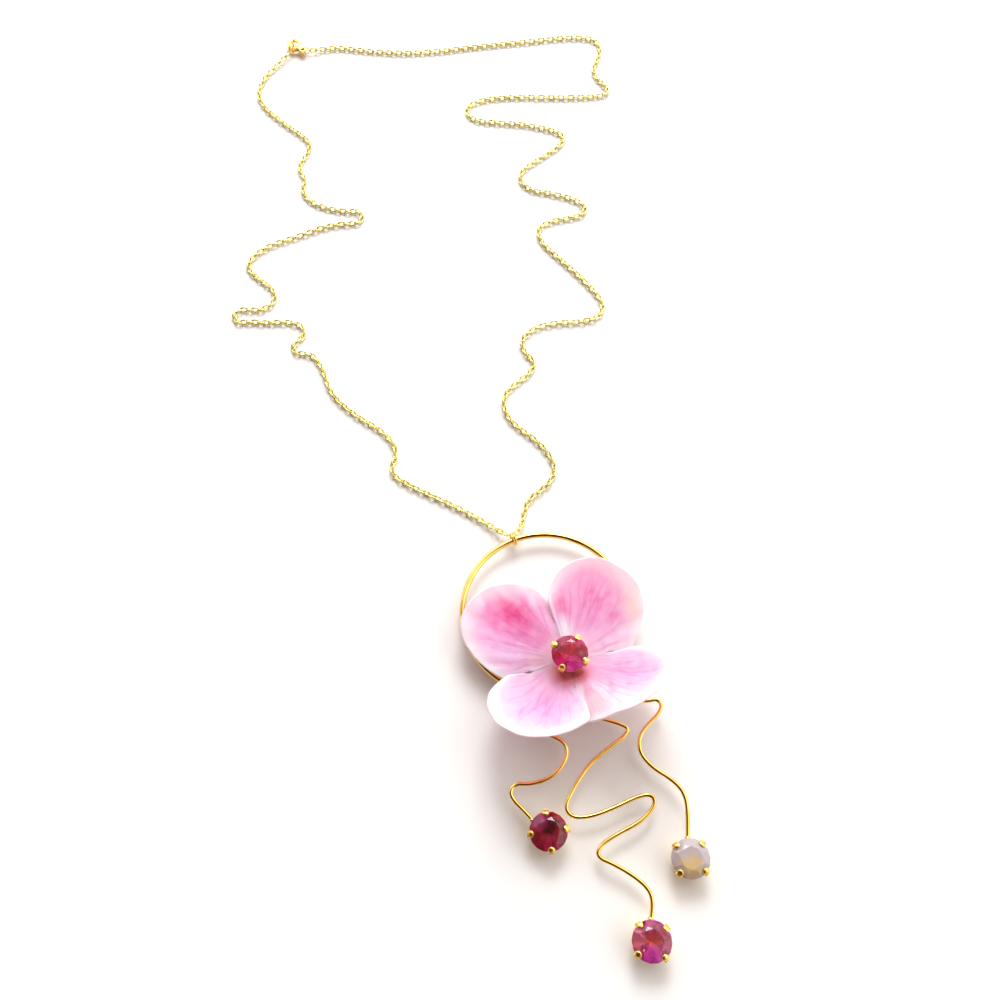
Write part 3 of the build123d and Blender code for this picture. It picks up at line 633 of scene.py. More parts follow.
class PendantChain(bpy.types.PropertyGroup):
    """Sizes of the chain's links."""

    pitch: length_setting("Pitch", "Distance from one link to the next", 1.525)
    width: length_setting("Width", "Outside width of a link", 1.6)
    wire: length_setting("Wire", "Thickness of a link's wire", 0.46)
    twist: bpy.props.FloatProperty(
        name="Twist", description="How far links roll from square", default=radians(28), subtype="ANGLE"
    )


class PendantCloth(bpy.types.PropertyGroup):
    """The flower's cloth."""

    thickness: length_setting("Thickness", "Thickness of the cloth", 0.42)
    ruffle: length_setting("Ruffle", "Height of the waves at the rims", 0.28)
    rows: bpy.props.IntProperty(
        name="Rows", description="Rows of points across a lobe", default=72, min=12, max=120
    )


class PendantStones(bpy.types.PropertyGroup):
    """Colours of the stones, with the painted reflections that their foils show in the middle and on the
    upper and lower sides.
    """

    red: colour_setting("Red", "Middle of the flower's stone", (1.0, 0.22, 0.30))
    mauve: colour_setting("Mauve", "Rim of the flower's stone", (1.0, 0.44, 0.62))
    magenta: colour_setting(
        "Magenta", "Lower side of the flower's stone and of the middle stone", (1.0, 0.40, 0.98)
    )
    rose: colour_setting("Rose", "Left stone", (0.90, 0.34, 0.46))
    dark_rose: colour_setting("Dark rose", "Middle of the left stone", (0.48, 0.12, 0.20))
    violet: colour_setting("Violet", "Upper side of the left stone", (0.94, 0.52, 1.0))
    purple: colour_setting("Purple", "Rim of the middle stone", (1.0, 0.68, 0.76))
    brick: colour_setting("Brick", "Middle of the middle stone", (1.0, 0.60, 0.48))
    milky: colour_setting("Milky", "Right stone", (0.92, 0.89, 0.92))
    peach: colour_setting("Peach", "Flecks in the right stone", (1.0, 0.87, 0.58))


class PendantStage(bpy.types.PropertyGroup):
    """Floor, light and camera."""

    floor: colour_setting("Floor", "Colour of the floor", (0.97, 0.97, 0.965))
    key: bpy.props.FloatProperty(
        name="Key light", description="Power of the light behind the necklace", default=6.0, unit="POWER"
    )
    sky: bpy.props.FloatProperty(
        name="Room light", description="Strength of the light from all round", default=1.0, min=0
    )


class PENDANT_OT_hoop(bpy.types.Operator):
    """Build the hoop with its crossbar, pad and hanging ring"""

    bl_idname = "pendant.hoop"
    bl_label = "Hoop"

    def execute(self, context):
        sizes = context.scene.pendant_metal
        bm = bmesh.new()
        middle = Vector((*HOOP_CENTRE, HOOP_HEIGHT)) * MM
        add_ring(bm, middle, (0, 0, 1), HOOP_RADIUS * MM, sizes.hoop_wire, steps=192, sides=24)
        reach = sqrt(HOOP_RADIUS**2 - (HOOP_CENTRE[1] - FLOWER_CENTRE[1]) ** 2)
        bar = place_at((HOOP_CENTRE[0], FLOWER_CENTRE[1]), BAR_HEIGHT) @ Matrix.Rotation(pi / 2, 4, "Y")
        bmesh.ops.create_cone(
            bm, cap_ends=True, segments=20, radius1=BAR_WIRE / 2 * MM, radius2=BAR_WIRE / 2 * MM,
            depth=2 * reach * MM, matrix=bar,
        )
        add_turned(bm, PAD_SIDE, place_at(FLOWER_CENTRE, BAR_HEIGHT), steps=40)
        merge_points(bm)
        hoop = finish_piece("round_hoop", bm, [gold()])
        declare(hoop, "necklace", "hoop")
        bm = bmesh.new()
        for angle in (HANGING_RING_ANGLE - HANGING_RING_TURN, HANGING_RING_ANGLE + HANGING_RING_TURN):
            middle = round_point(HOOP_CENTRE, angle, HANGING_RING_OUT, HANGING_RING_HEIGHT)
            add_ring(bm, middle, sideways(angle), HANGING_RING_RADIUS * MM, HANGING_RING_WIRE * MM, 32)
        ring = finish_piece("hanging_ring", bm, [gold()])
        declare(ring, "necklace", "hoop_ring")
        return {"FINISHED"}


class PENDANT_OT_setting(bpy.types.Operator):
    """Build the setting of the flower's stone with its post and button"""

    bl_idname = "pendant.setting"
    bl_label = "Flower setting"

    def execute(self, context):
        bm = bmesh.new()
        add_turned(bm, BUTTON_SIDE, place_at(FLOWER_CENTRE))
        add_cup(bm, FLOWER_CENTRE, FLOWER_CUP_HEIGHT, FLOWER_CUP_TURN)
        merge_points(bm)
        setting = finish_piece("flower_cup", bm, [gold(), cup_gold()])
        declare(setting, "necklace", "flower_setting")
        return {"FINISHED"}


class PENDANT_OT_drops(bpy.types.Operator):
    """Build the three drops: eye, wavy wire and cup"""

    bl_idname = "pendant.drops"
    bl_label = "Drops"

    def execute(self, context):
        sizes = context.scene.pendant_metal
        wire = sizes.drop_wire / MM
        for side, drop in DROPS.items():
            bm = bmesh.new()
            eye_radius = EYE_INSIDE + wire / 2
            eye_out = HOOP_RADIUS + EYE_SHIFT
            middle = round_point(HOOP_CENTRE, drop["eye"], eye_out, HOOP_HEIGHT)
            add_ring(bm, middle, sideways(drop["eye"]), eye_radius * MM, wire * MM, steps=32, sides=16)
            start = round_point(HOOP_CENTRE, drop["eye"], eye_out + eye_radius, HOOP_HEIGHT) / MM
            end = round_point(drop["cup"], drop["arrives"], WIRE_END_RADIUS, WIRE_END_HEIGHT) / MM
            add_wire(bm, [start, *drop["corners"], end], wire)
            bead = round_point(drop["cup"], drop["arrives"], SOLDER_OUT, WIRE_END_HEIGHT)
            bmesh.ops.create_icosphere(
                bm, subdivisions=3, radius=SOLDER_RADIUS * MM, matrix=Matrix.Translation(bead)
            )
            add_cup(bm, drop["cup"], 0.0, drop["turn"])
            obj = finish_piece(f"wavy_drop_{side}", bm, [gold(), cup_gold()])
            declare(obj, "necklace", f"drop_{side}")
        return {"FINISHED"}


def link_template(width, wire, pitch):
    """One long link of round wire, lying flat, with its length along X."""
    bm = bmesh.new()
    radius = (width - wire) / 2
    stretch = (pitch + 2 * wire - width) / 2
    add_ring(bm, Vector((0, 0, 0)), (0, 0, 1), radius, wire, steps=12, sides=5)
    # The ring's two halves are drawn apart, and the points on its middle line stay
    for vert in bm.verts:
        if abs(vert.co.x) > 0.2 * wire:
            vert.co.x += stretch if vert.co.x > 0 else -stretch
    bmesh.ops.recalc_face_normals(bm, faces=bm.faces)
    mesh = bpy.data.meshes.new("link")
    bm.to_mesh(mesh)
    bm.free()
    points = np.array([vert.co for vert in mesh.vertices])
    faces = np.array([face.vertices for face in mesh.polygons])
    bpy.data.meshes.remove(mesh)
    return points, faces


def even_points(corners, pitch):
    """Points at an even spacing along the smooth line through a chain's corners, with their directions."""
    mesh = line_mesh(corners, along=16)
    line = np.array([vert.co for vert in mesh.vertices])
    bpy.data.meshes.remove(mesh)
    steps = np.linalg.norm(np.diff(line, axis=0), axis=1)
    reach = np.concatenate([[0.0], np.cumsum(steps)])
    count = int(round(reach[-1] / pitch))
    stops = (np.arange(count) + 0.5) * reach[-1] / count
    places = np.stack([np.interp(stops, reach, line[:, axis]) for axis in range(3)], axis=1)
    ahead = np.stack([np.interp(stops + pitch / 3, reach, line[:, axis]) for axis in range(3)], axis=1)
    behind = np.stack([np.interp(stops - pitch / 3, reach, line[:, axis]) for axis in range(3)], axis=1)
    return places, ahead - behind


class PENDANT_OT_chain(bpy.types.Operator):
    """Build both sides of the chain, link by link"""

    bl_idname = "pendant.chain"
    bl_label = "Chain"

    def execute(self, context):
        sizes = context.scene.pendant_chain
        points, faces = link_template(sizes.width, sizes.wire, sizes.pitch)
        for side, corners, seed in (("left", CHAIN_LEFT, 3.7), ("right", CHAIN_RIGHT, 9.2)):
            places, directions = even_points(corners, sizes.pitch)
            all_points = []
            all_faces = []
            for number, (place, direction) in enumerate(zip(places, directions)):
                along = Vector(direction).normalized()
                level = Vector((0, 0, 1)).cross(along).normalized()
                upright = along.cross(level)
                square = Matrix((along, level, upright)).transposed()
                # Every other link stands square to the one before, and their roll wanders slowly
                wander = noise.noise(Vector((number * 0.11, seed, 0.0)))
                roll = pi / 4 + (number % 2) * pi / 2 + sizes.twist * wander
                turned = square @ Matrix.Rotation(roll, 3, "X")
                all_points.append(points @ np.array(turned).T + place)
                all_faces.append(faces + number * len(points))
            mesh = bpy.data.meshes.new(f"chain_links_{side}")
            mesh.from_pydata(np.concatenate(all_points).tolist(), [], np.concatenate(all_faces).tolist())
            mesh.shade_smooth()
            mesh.materials.append(chain_gold())
            obj = bpy.data.objects.new(f"chain_links_{side}", mesh)
            context.scene.collection.objects.link(obj)
            declare(obj, "necklace", f"chain_{side}")
        return {"FINISHED"}


class PENDANT_OT_clasp(bpy.types.Operator):
    """Build the clasp's rings and dress its body and lever"""

    bl_idname = "pendant.clasp"
    bl_label = "Clasp"

    def execute(self, context):
        claw_turn = radians(CLASP_DIRECTION)
        claw = (
            CLASP_TAIL[0] + CLAW_MIDDLE * cos(claw_turn), CLASP_TAIL[1] + CLAW_MIDDLE * sin(claw_turn)
        )
        rings = [
            ("claw_ring", "clasp_ring", claw, CLAW_RING),
            ("eye_ring", "tail_ring", CLASP_TAIL, TAIL_RING),
        ]
        for name, node, centre, (angle, out, height, radius, wire) in rings:
            bm = bmesh.new()
            middle = round_point(centre, angle, out, height)
            add_ring(bm, middle, sideways(angle), radius * MM, wire * MM, steps=32)
            ring = finish_piece(name, bm, [gold()])
            declare(ring, "necklace", node)
        for node in ("clasp_body", "clasp_lever"):
            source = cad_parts[node]
            bm = bmesh.new()
            bm.from_mesh(source.data)
            bmesh.ops.transform(bm, matrix=source.matrix_world, verts=bm.verts)
            merge_points(bm, 0.001 * MM)
            bmesh.ops.dissolve_limit(bm, angle_limit=radians(4), verts=bm.verts, edges=bm.edges)
            edges = [edge for edge in bm.edges if edge.calc_face_angle(0.0) > radians(50)]
            bmesh.ops.bevel(
                bm, geom=edges, offset=CLASP_ROUNDING * MM, segments=3, profile=0.5, affect="EDGES",
                material=-1, clamp_overlap=True,
            )
            dressed = finish_piece(f"polished_{node}", bm, [gold()])
            declare(dressed, "lever" if node == "clasp_lever" else "necklace", node)
        return {"FINISHED"}


def foil_material(name, place, colour, painted_areas):
    """The coloured mirror behind a stone, with painted reflections: areas of other colours placed as the
    stone shows them from above.
    """
    material, graph, shader = new_material(name)
    where = graph.where()
    level = graph.vector("MULTIPLY", {0: where, 1: (1.0, 1.0, 0.0)})
    shade = graph.nodes.new("ShaderNodeRGB").outputs[0]
    shade.default_value = paint(colour)
    # Painted reflections: each area takes another colour where the stone shows a reflection from above
    for angle, distance, reach, other in painted_areas:
        middle = round_point(place, angle, distance, 0.0)
        away = graph.vector("DISTANCE", {0: level, 1: middle}, "Value")
        share = graph.spread(away, reach * MM, reach * 0.45 * MM)
        shade = graph.mix(share, shade, paint(other))
    # Each facet's painted brightness, from the facet attribute, scales the foil's colour
    graph.fill(shader, {
        "Metallic": 0.6,
        "Base Color": graph.vector("SCALE", {0: shade, "Scale": graph.attribute("facet", "Fac")}),
        "Roughness": graph.spread(graph.noise(where, 420.0), 0.0, 1.0, 0.04, 0.14),
    })
    return material


def glass_material(name, colour, clear, haze):
    """The front of a stone: its tint, how clear it is, and a faint uneven haze."""
    material, graph, shader = new_material(name)
    clouds = graph.noise(graph.where(), 700.0, 3.0)
    graph.fill(shader, {
        "Metallic": 0.0,
        "Transmission Weight": clear,
        "IOR": GLASS_IOR,
        "Specular IOR Level": 0.15,
        "Base Color": graph.mix(clouds, paint(colour), paint([0.96 * c for c in colour])),
        "Roughness": graph.spread(clouds, 0.0, 1.0, haze, haze + 0.04),
    })
    return material


def add_flecks(material, colour, place, reach):
    """Bright streaks of another colour in a stone's front, thickest round one place."""
    graph = Graph(material.node_tree)
    shader = graph.nodes["Principled BSDF"]
    where = graph.where()
    slanted = graph.add("ShaderNodeMapping", {
        "Vector": where, "Rotation": (0.0, 0.0, radians(55.0)), "Scale": (0.8, 2.4, 1.0),
    })
    streaks = graph.noise(slanted.outputs["Vector"], 700.0, 3.0)
    away = graph.vector("DISTANCE", {0: where, 1: place}, "Value")
    near = graph.spread(away, reach * MM, 0.0, 0.0, 0.48)
    share = graph.spread(graph.math("ADD", streaks, near), 0.66, 0.84, 0.0, 0.9)
    clear_tint = shader.inputs["Base Color"].links[0].from_socket
    graph.fill(shader, {"Base Color": graph.mix(share, clear_tint, paint(colour))})


def cut_stone(centre, base, turn):
    """A round stone cut facet by facet: table, crown, girdle and pointed back."""
    bm = bmesh.new()
    height = STONE_TOP - STONE_CULET
    bmesh.ops.create_cone(
        bm, cap_ends=True, segments=STONE_SIDES, radius1=STONE_RADIUS * MM, radius2=STONE_RADIUS * MM,
        depth=height * MM, matrix=Matrix.Translation((0, 0, (STONE_CULET + height / 2) * MM)),
    )
    first = min((atan2(v.co.y, v.co.x) % (2 * pi / STONE_SIDES) for v in bm.verts), default=0.0)
    bmesh.ops.rotate(bm, verts=bm.verts, cent=(0, 0, 0), matrix=Matrix.Rotation(-first, 3, "Z"))
    half_side = 180 / STONE_SIDES
    apothem = STONE_RADIUS * cos(radians(half_side))
    star = STONE_TABLE_RADIUS * cos(radians(2 * half_side))
    main_slope = degrees(atan2(STONE_TOP - GIRDLE_TOP, STONE_RADIUS - STONE_TABLE_RADIUS))
    back_slope = degrees(atan2(GIRDLE_BOTTOM - STONE_CULET, STONE_RADIUS))
    # Each row of facets: its slope, the distance and height of a point on each, the angle of the first
    # and their number
    rows = [
        (main_slope, STONE_RADIUS, GIRDLE_TOP, 0.0, 8),
        (UPPER_HALF_ANGLE, apothem, GIRDLE_TOP, half_side, 16),
        (STAR_ANGLE, star, STONE_TOP, 2 * half_side, 8),
        (180 - back_slope, STONE_RADIUS, GIRDLE_BOTTOM, 0.0, 8),
        (180 - LOWER_HALF_ANGLE, apothem, GIRDLE_BOTTOM, half_side, 16),
    ]
    for slope, distance, level, start, count in rows:
        for number in range(count):
            azimuth = radians(start + number * 360 / count)
            lean = radians(slope)
            normal = Vector((sin(lean) * cos(azimuth), sin(lean) * sin(azimuth), cos(lean)))
            point = Vector((distance * cos(azimuth), distance * sin(azimuth), level)) * MM
            bmesh.ops.bisect_plane(
                bm, geom=bm.verts[:] + bm.edges[:] + bm.faces[:], dist=1e-7, plane_co=point,
                plane_no=normal, clear_outer=True,
            )
            rim = [edge for edge in bm.edges if edge.is_boundary]
            if rim:
                bmesh.ops.contextual_create(bm, geom=rim)
    bmesh.ops.recalc_face_normals(bm, faces=bm.faces)
    facet = bm.faces.layers.float.new("facet")
    for face in bm.faces:
        face.material_index = 1 if face.normal.z < -0.05 else 0
        around = atan2(face.normal.y, face.normal.x)
        # Painted light: the foil of each facet is a little brighter or darker than its neighbours', set by
        # the way the facet faces, as facets catch the light unevenly
        face[facet] = 0.95 + 0.45 * sin(5 * around + 1.0) * cos(2 * around)
    bmesh.ops.transform(bm, matrix=place_at(centre, base, turn), verts=bm.verts)
    return bm


class PENDANT_OT_stones(bpy.types.Operator):
    """Cut the four round stones"""

    bl_idname = "pendant.stones"
    bl_label = "Stones"

    def execute(self, context):
        look = context.scene.pendant_stones
        # For each stone: its rim's colour, the painted reflections as areas of other colours, given as angle
        # and distance from its middle, reach and colour, and its front's tint, clearness and haze
        foils = {
            "flower_stone": (
                look.mauve, [(80.0, 0.3, 2.8, look.red), (-85.0, 3.6, 4.4, look.magenta)],
                (1.0, 0.78, 0.88), 1.0, 0.0,
            ),
            "stone_left": (
                look.rose, [(75.0, 1.0, 2.1, look.dark_rose), (120.0, 3.8, 3.2, look.violet)],
                (0.97, 0.68, 0.80), 1.0, 0.0,
            ),
            "stone_middle": (
                look.purple, [(55.0, 0.8, 2.0, look.brick), (-95.0, 3.6, 3.6, look.magenta)],
                (1.0, 0.90, 0.95), 1.0, 0.0,
            ),
            "stone_right": (look.milky, [(-70.0, 2.0, 4.5, look.peach)], (0.91, 0.88, 0.90), 0.5, 0.03),
        }
        for name, (place, base, turn, slot) in STONES.items():
            colour, painted_areas, tint, clear, haze = foils[name]
            foil = foil_material(f"foil of {name}", place, colour, painted_areas)
            front = glass_material(f"glass of {name}", tint, clear, haze)
            if name == "stone_right":
                add_flecks(front, look.peach, round_point(place, -90.0, 1.4, 5.5), 3.6)
            obj = finish_piece(f"cut_{name}", cut_stone(place, base, turn), [front, foil], flat=True)
            declare(obj, "necklace", name)
        return {"FINISHED"}


def lobe_axes(lobe):
    """The directions along a lobe, across it and out of its face."""
    turn, lift, roll = (radians(lobe[key]) for key in ("direction", "slope", "roll"))
    along = Vector((cos(turn) * cos(lift), sin(turn) * cos(lift), sin(lift)))
    normal = Vector((-cos(turn) * sin(lift), -sin(turn) * sin(lift), cos(lift)))
    normal.rotate(Matrix.Rotation(roll, 3, along))
    return along, normal.cross(along), normal


def lobe_point(lobe, distance, angle):
    """Where a point of the flat cloth lies on one lobe, in millimetres."""
    along, side, normal = lobe_axes(lobe)
    turn = radians(lobe["direction"])
    u = distance * cos(radians(angle)) - PETAL_ROOT
    v = distance * sin(radians(angle))
    # An arc dips between the lobe's root and its tip, and another makes it hollow across
    half = (lobe["length"] - PETAL_ROOT + CHORD_MARGIN) / 2
    bend = (half**2 + lobe["dip"] ** 2) / (2 * lobe["dip"])
    sink = 0.0 if u < 0 else sqrt(max(bend**2 - (u - half) ** 2, 0.0)) - (bend - lobe["dip"])
    rise = lobe["hollow"] - sqrt(max((lobe["hollow"] + sink) ** 2 - v * v, 0.0))
    # Its two sides lift or sink further out
    low, high = lobe["lifts"]
    low_start, high_start = lobe["starts"]
    low_reach = smooth_step(*lobe["sinks_from"], distance)
    high_reach = smooth_step(*lobe["rises_from"], distance)
    rise += low * smooth_step(low_start, SIDE_FULL_ANGLE, -angle) * low_reach
    rise += high * smooth_step(high_start, SIDE_FULL_ANGLE, angle) * high_reach
    root = Vector((cos(turn), sin(turn), 0)) * PETAL_ROOT + Vector((*FLOWER_CENTRE, lobe["root"]))
    raised = root + along * u + side * v + normal * rise
    # It rises out of the level middle that all four lobes share
    absolute = radians(lobe["direction"] + angle)
    level = Vector((
        FLOWER_CENTRE[0] + distance * cos(absolute), FLOWER_CENTRE[1] + distance * sin(absolute),
        CLOTH_MIDDLE_HEIGHT,
    ))
    return level.lerp(raised, smooth_step(*LEVEL_MIDDLE, distance))


def cloth_point(lobe, distance, angle, across):
    """A point of the cloth, drawn towards the neighbouring lobe while the two are joined."""
    point = lobe_point(lobe, distance, angle)
    joined = 1 - smooth_step(SLIT_START, SLIT_START + SLIT_BLEND, distance)
    share = 0.5 * joined * smooth_step(0.4, 1.0, abs(across))
    if share > 0:
        other = LOBES[lobe["low_side"] if across < 0 else lobe["high_side"]]
        turned = (angle + lobe["direction"] - other["direction"] + 180) % 360 - 180
        point = point.lerp(lobe_point(other, distance, turned), share)
    return point


def rim_reach(lobe, angle):
    """How far the rim is from the flower's middle at an angle from the lobe's direction."""
    angles, reaches = zip(*lobe["rim"])
    place = min(max(angle, angles[0]), angles[-1])
    for index in range(len(angles) - 1):
        if place <= angles[index + 1]:
            break
    span = angles[index + 1] - angles[index]
    share = (place - angles[index]) / span
    # A smooth curve through the points, whose slope at each comes from its two neighbours
    slopes = []
    for at in (index, index + 1):
        before, after = max(at - 1, 0), min(at + 1, len(angles) - 1)
        slopes.append((reaches[after] - reaches[before]) / (angles[after] - angles[before]))
    blend = share * share * (3 - 2 * share)
    leaving = share**3 - 2 * share * share + share
    arriving = share**3 - share * share
    return (
        reaches[index] * (1 - blend) + reaches[index + 1] * blend
        + span * (slopes[0] * leaving + slopes[1] * arriving)
    )


def flat_cloth():
    """The flat cloth's two sides and its area in metres, worked out from the lobes' rims."""
    xs, ys, area = [], [], 0.0
    for lobe in LOBES:
        low, high = lobe["rim"][0][0], lobe["rim"][-1][0]
        step = (high - low) / 200
        for number in range(201):
            angle = low + step * number
            reach = rim_reach(lobe, angle) * MM
            turn = radians(lobe["direction"] + angle)
            xs.append(reach * cos(turn))
            ys.append(reach * sin(turn))
            if number < 200:
                middle = rim_reach(lobe, angle + step / 2) * MM
                area += radians(step) * middle**2 / 2
    return (max(xs) - min(xs), max(ys) - min(ys)), area


def dye_and_shadow_at(number, x, y, rim):
    """The cloth's colour at a flat point, in linear values: pale rim, dyed areas, and the painted shadow and
    red reflection of the stone at the middle.
    """
    distance = sqrt(x * x + y * y)
    pale = PALE_BODY if number < 2 else LOWER_PALE_BODY
    colour = Vector(linear(WARM_ROOT)).lerp(Vector(linear(pale)), smooth_step(3.0, 12.0, distance))
    # Each dyed area is an ellipse with a soft and slightly wobbly edge
    for lobe, middle, radii, turn, shade, strength in DYE:
        if lobe != number:
            continue
        angle = radians(turn)
        dx, dy = x - middle[0], y - middle[1]
        a = (dx * cos(angle) + dy * sin(angle)) / radii[0]
        b = (-dx * sin(angle) + dy * cos(angle)) / radii[1]
        wobble = 0.25 * noise.noise(Vector((x * 0.45, y * 0.45, lobe * 7.0)))
        inside = 1 - smooth_step(0.0, 1.55, sqrt(a * a + b * b) + wobble)
        colour = colour.lerp(Vector(linear(shade)), strength * inside)
    edge = RIM_EDGE if number < 2 else LOWER_RIM_EDGE
    colour = colour.lerp(Vector(linear(edge)), 0.7 * smooth_step(0.8, 1.0, rim))
    # Painted shade: the stone's shadow and red reflection on the cloth, with a pink halo
    shadow_reach = sqrt(sum(
        ((at - middle) / radius) ** 2 for at, middle, radius in zip((x, y), STONE_SHADOW_PLACE, STONE_SHADOW_RADII)
    ))
    shadow_halo = 1 - smooth_step(0.5, 2.2, shadow_reach)
    colour = colour.lerp(Vector(linear(STONE_SHADOW_HALO)), 0.6 * shadow_halo)
    stone_shadow = 1 - smooth_step(0.55, 1.25, shadow_reach)
    return colour.lerp(Vector(linear(STONE_RED_SHADOW)), 0.8 * stone_shadow)


def cloth_material():
    """Pressed cloth: the colour comes from the cloth's own colours, which hold its dyed areas and the
    painted shadow and red reflection of the stone, with veins, fibres and a soft nap.
    """
    material, graph, shader = new_material("petal cloth")
    flat = graph.attribute("flat", "Vector")
    sway = graph.add("ShaderNodeTexNoise", {"Vector": flat, "Scale": 0.12}).outputs["Color"]
    swayed = graph.vector("MULTIPLY_ADD", {0: sway, 1: (1.4, 0.2, 0.0), 2: graph.attribute("ray", "Vector")})
    inputs = {"Vector": swayed, "Scale": 1.0}
    veins = graph.add("ShaderNodeTexVoronoi", inputs, feature="DISTANCE_TO_EDGE").outputs["Distance"]
    lines = graph.spread(veins, 0.0, 0.08, 0.7, 0.0)
    fading = graph.math("MULTIPLY", lines, graph.attribute("vein", "Fac"))
    veined = graph.mix(fading, graph.attribute("dye_and_shadow", "Color"), paint(VEIN_SHADE), "MULTIPLY")
    patches = graph.spread(graph.noise(flat, 0.55, 5.0), 0.35, 0.75, 0.0, 0.16)
    fibres = graph.math("MULTIPLY_ADD", graph.noise(flat, 9.0, 4.0), 0.45, veins)
    graph.fill(shader, {
        "Base Color": graph.mix(patches, veined, paint(PALE_PATCH)),
        "Roughness": 0.75,
        "Sheen Weight": 0.15,
        "Sheen Roughness": 0.5,
        "Subsurface Weight": 0.9,
        "Subsurface Radius": (1.0, 0.3, 0.36),
        "Subsurface Scale": 2.6 * MM,
        "Normal": graph.bump(0.2, 0.0001, fibres),
    })
    return material


def shape_lobe(bm, number, look):
    """One lobe: a grid bent to its shape, each point with its colour, dyed and with painted shadow, and its
    place in the flat cloth.
    """
    lobe = LOBES[number]
    layers = bm.verts.layers
    dye_and_shadow = layers.float_color["dye_and_shadow"]
    flat = layers.float_vector["flat"]
    ray = layers.float_vector["ray"]
    vein = layers.float["vein"]
    rows = INNER_ROWS + OUTER_ROWS
    made = bmesh.ops.create_grid(bm, x_segments=look.rows, y_segments=rows, size=0.5)["verts"]
    low_joined, high_joined = lobe["joined"]
    low_rim, high_rim = lobe["rim"][0][0], lobe["rim"][-1][0]
    normal = lobe_axes(lobe)[2]
    for vert in made:
        # Across the lobe from -1 to 1, and along it in rows
        across = 2 * vert.co.x
        row = round((vert.co.y + 0.5) * rows)
        joined = low_joined + (high_joined - low_joined) * (across + 1) / 2
        open_angle = low_rim + (high_rim - low_rim) * (across + 1) / 2
        cut = noise.noise(Vector((open_angle * 0.8, number * 3.0, 1.0)))
        reach = rim_reach(lobe, open_angle) + RIM_UNEVEN * cut
        if row <= INNER_ROWS:
            distance = CLOTH_HOLE + (SLIT_START - CLOTH_HOLE) * row / INNER_ROWS
            angle = joined
        else:
            out = (row - INNER_ROWS) / OUTER_ROWS
            distance = SLIT_START + (reach - SLIT_START) * out
            angle = joined + (open_angle - joined) * smooth_step(0.0, 0.5, out)
        rim = distance / reach
        point = cloth_point(lobe, distance, angle, across)
        # Soft waves that grow towards the rim, and finer creases
        wave = noise.noise(Vector((angle * 0.09, number * 5.0, distance * 0.05)))
        creases = noise.noise(Vector((angle * 0.22, number * 9.0, distance * 0.05)))
        point += normal * (look.ruffle / MM * wave * 1.6 * smooth_step(0.45, 1.0, rim))
        point += normal * CREASE_HEIGHT * creases * smooth_step(0.15, 0.4, rim)
        vert.co = point * MM
        # The flat place and the one along the veins are set apart from the other lobes' by their height
        absolute = radians(lobe["direction"] + angle)
        x, y = distance * cos(absolute), distance * sin(absolute)
        vert[flat] = (x, y, number * 3.0)
        vert[ray] = (radians(angle) * 7.5, distance * 0.05, number * 4.0)
        vert[vein] = smooth_step(0.15, 0.45, rim) * (1 - smooth_step(0.6, 0.95, rim))
        # Each point's dyed colour, with the painted shadow and red reflection of the stone near the middle
        vert[dye_and_shadow] = (*dye_and_shadow_at(number, x, y, rim), 1.0)


class PENDANT_OT_flower(bpy.types.Operator):
    """Shape the four-lobed cloth flower"""

    bl_idname = "pendant.flower"
    bl_label = "Flower"

    def execute(self, context):
        look = context.scene.pendant_cloth
        bm = bmesh.new()
        bm.verts.layers.float_color.new("dye_and_shadow")
        bm.verts.layers.float_vector.new("flat")
        bm.verts.layers.float_vector.new("ray")
        bm.verts.layers.float.new("vein")
        for number in range(len(LOBES)):
            shape_lobe(bm, number, look)
        merge_points(bm, 0.002 * MM)
        cloth = finish_piece("cloth_flower", bm, [cloth_material()], sharp=60.0)
        thick = cloth.modifiers.new("thickness", "SOLIDIFY")
        thick.thickness = look.thickness
        thick.offset = 0.0
        thick.use_even_offset = True
        declare(cloth, "necklace", "flower")
        flat_sides, area = flat_cloth()
        return {"FINISHED"}


def room_part(graph, around, direction, start, full, outside, inside):
    """A soft round area of the room in one direction, with the colours outside and inside it."""
    inputs = {0: around, 1: Vector(direction).normalized()}
    towards = graph.vector("DOT_PRODUCT", inputs, "Value")
    share = graph.spread(towards, start, full, interpolation="SMOOTHSTEP")
    return graph.mix(share, (*outside, 1.0), (*inside, 1.0))


def floor_material(colour):
    """Pale paper with the faintest mottle."""
    material, graph, shader = new_material("pale floor")
    mottle = graph.noise(graph.where(), 30.0)
    tone = graph.mix(mottle, paint(colour), paint([0.99 * c for c in colour]))
    graph.fill(shader, {"Base Color": tone, "Roughness": 0.7})
    return material


def light_room(world, strength):
    """The room's light: a window behind the necklace, pale walls, and a dark side towards the viewer."""
    world.use_nodes = True
    graph = Graph(world.node_tree)
    around = graph.nodes.new("ShaderNodeTexCoord").outputs["Generated"]
    window = room_part(graph, around, (-0.1, 0.72, 0.69), 0.45, 0.97, (0.655, 0.60, 0.58), (2.3, 2.3, 2.3))
    beside = room_part(graph, around, (0.80, -0.05, 0.60), 0.70, 0.98, (0.0, 0.0, 0.0), (1.3, 1.3, 1.3))
    dark = room_part(graph, around, (-0.38, -0.50, 0.78), 0.30, 0.78, (1.0, 1.0, 1.0), (0.12, 0.05, 0.02))
    lit = graph.mix(1.0, window, beside, "ADD")
    shaded = graph.mix(1.0, lit, dark, "MULTIPLY")
    graph.fill(graph.nodes["Background"], {"Strength": strength, "Color": shaded})


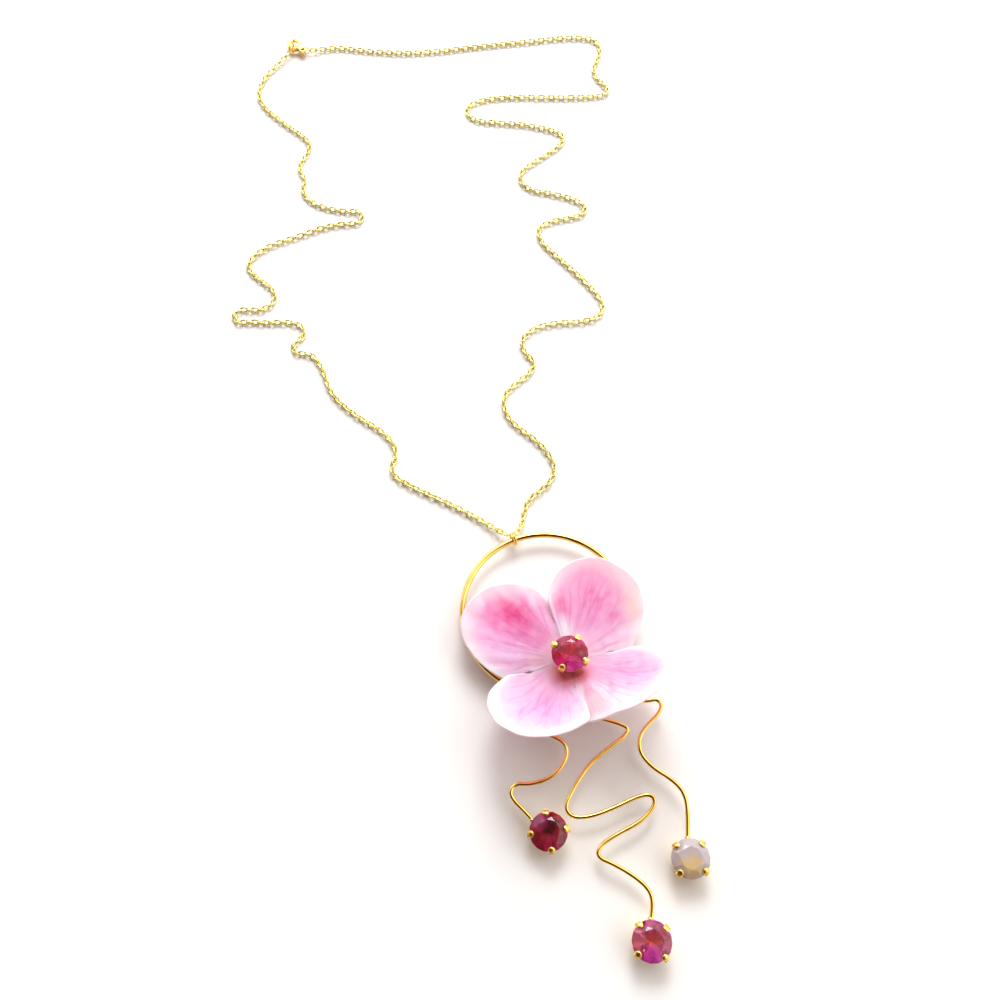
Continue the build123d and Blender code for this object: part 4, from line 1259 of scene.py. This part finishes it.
class PENDANT_OT_stage(bpy.types.Operator):
    """Lay the floor and set the lights and the camera"""

    bl_idname = "pendant.stage"
    bl_label = "Stage"

    def execute(self, context):
        look = context.scene.pendant_stage
        scene = context.scene
        bm = bmesh.new()
        bmesh.ops.create_grid(bm, x_segments=1, y_segments=1, size=FLOOR_REACH)
        floor = finish_piece("floor", bm, [floor_material(look.floor)])

        key = bpy.data.lights.new("key", "AREA")
        key.shape = "DISK"
        key.size = KEY_SIZE
        key.energy = look.key
        key_obj = bpy.data.objects.new("key", key)
        key_obj.location = KEY_PLACE
        aim = Vector(KEY_AIM) - key_obj.location
        key_obj.rotation_euler = aim.to_track_quat("-Z", "Y").to_euler()
        scene.collection.objects.link(key_obj)

        scene.world = bpy.data.worlds.new("room")
        scene.view_settings.view_transform = "Standard"
        light_room(scene.world, look.sky)

        camera = bpy.data.cameras.new("camera")
        camera.sensor_width = 36.0
        camera.lens = CAMERA_LENS
        camera.clip_start = 0.005
        camera_obj = bpy.data.objects.new("camera", camera)
        camera_obj.location = CAMERA_PLACE
        camera_obj.rotation_euler = (radians(CAMERA_TILT), 0.0, 0.0)
        scene.collection.objects.link(camera_obj)
        scene.camera = camera_obj
        return {"FINISHED"}


STEPS = ("hoop", "setting", "drops", "chain", "clasp", "stones", "flower", "stage")


class PENDANT_PT_panel(bpy.types.Panel):
    """The pendant's operators and sizes"""

    bl_idname = "PENDANT_PT_panel"
    bl_label = "Flower pendant"
    bl_space_type = "VIEW_3D"
    bl_region_type = "UI"
    bl_category = "Pendant"

    def draw(self, context):
        for step in STEPS:
            self.layout.operator(f"pendant.{step}")
        for name in GROUPS:
            box = self.layout.box()
            group = getattr(context.scene, name)
            for key in group.__annotations__:
                box.prop(group, key)


GROUPS = {
    "pendant_metal": PendantMetal,
    "pendant_chain": PendantChain,
    "pendant_cloth": PendantCloth,
    "pendant_stones": PendantStones,
    "pendant_stage": PendantStage,
}
CLASSES = (
    *GROUPS.values(), PENDANT_OT_hoop, PENDANT_OT_setting, PENDANT_OT_drops, PENDANT_OT_chain,
    PENDANT_OT_clasp, PENDANT_OT_stones, PENDANT_OT_flower, PENDANT_OT_stage, PENDANT_PT_panel,
)


def register():
    for cls in CLASSES:
        bpy.utils.register_class(cls)
    for name, cls in GROUPS.items():
        setattr(bpy.types.Scene, name, bpy.props.PointerProperty(type=cls))


def unregister():
    for name in GROUPS:
        delattr(bpy.types.Scene, name)
    for cls in reversed(CLASSES):
        bpy.utils.unregister_class(cls)


def main():
    """Builds every piece."""
    register()
    for step in STEPS:
        getattr(bpy.ops.pendant, step)()


if __name__ == "__main__":
    main()
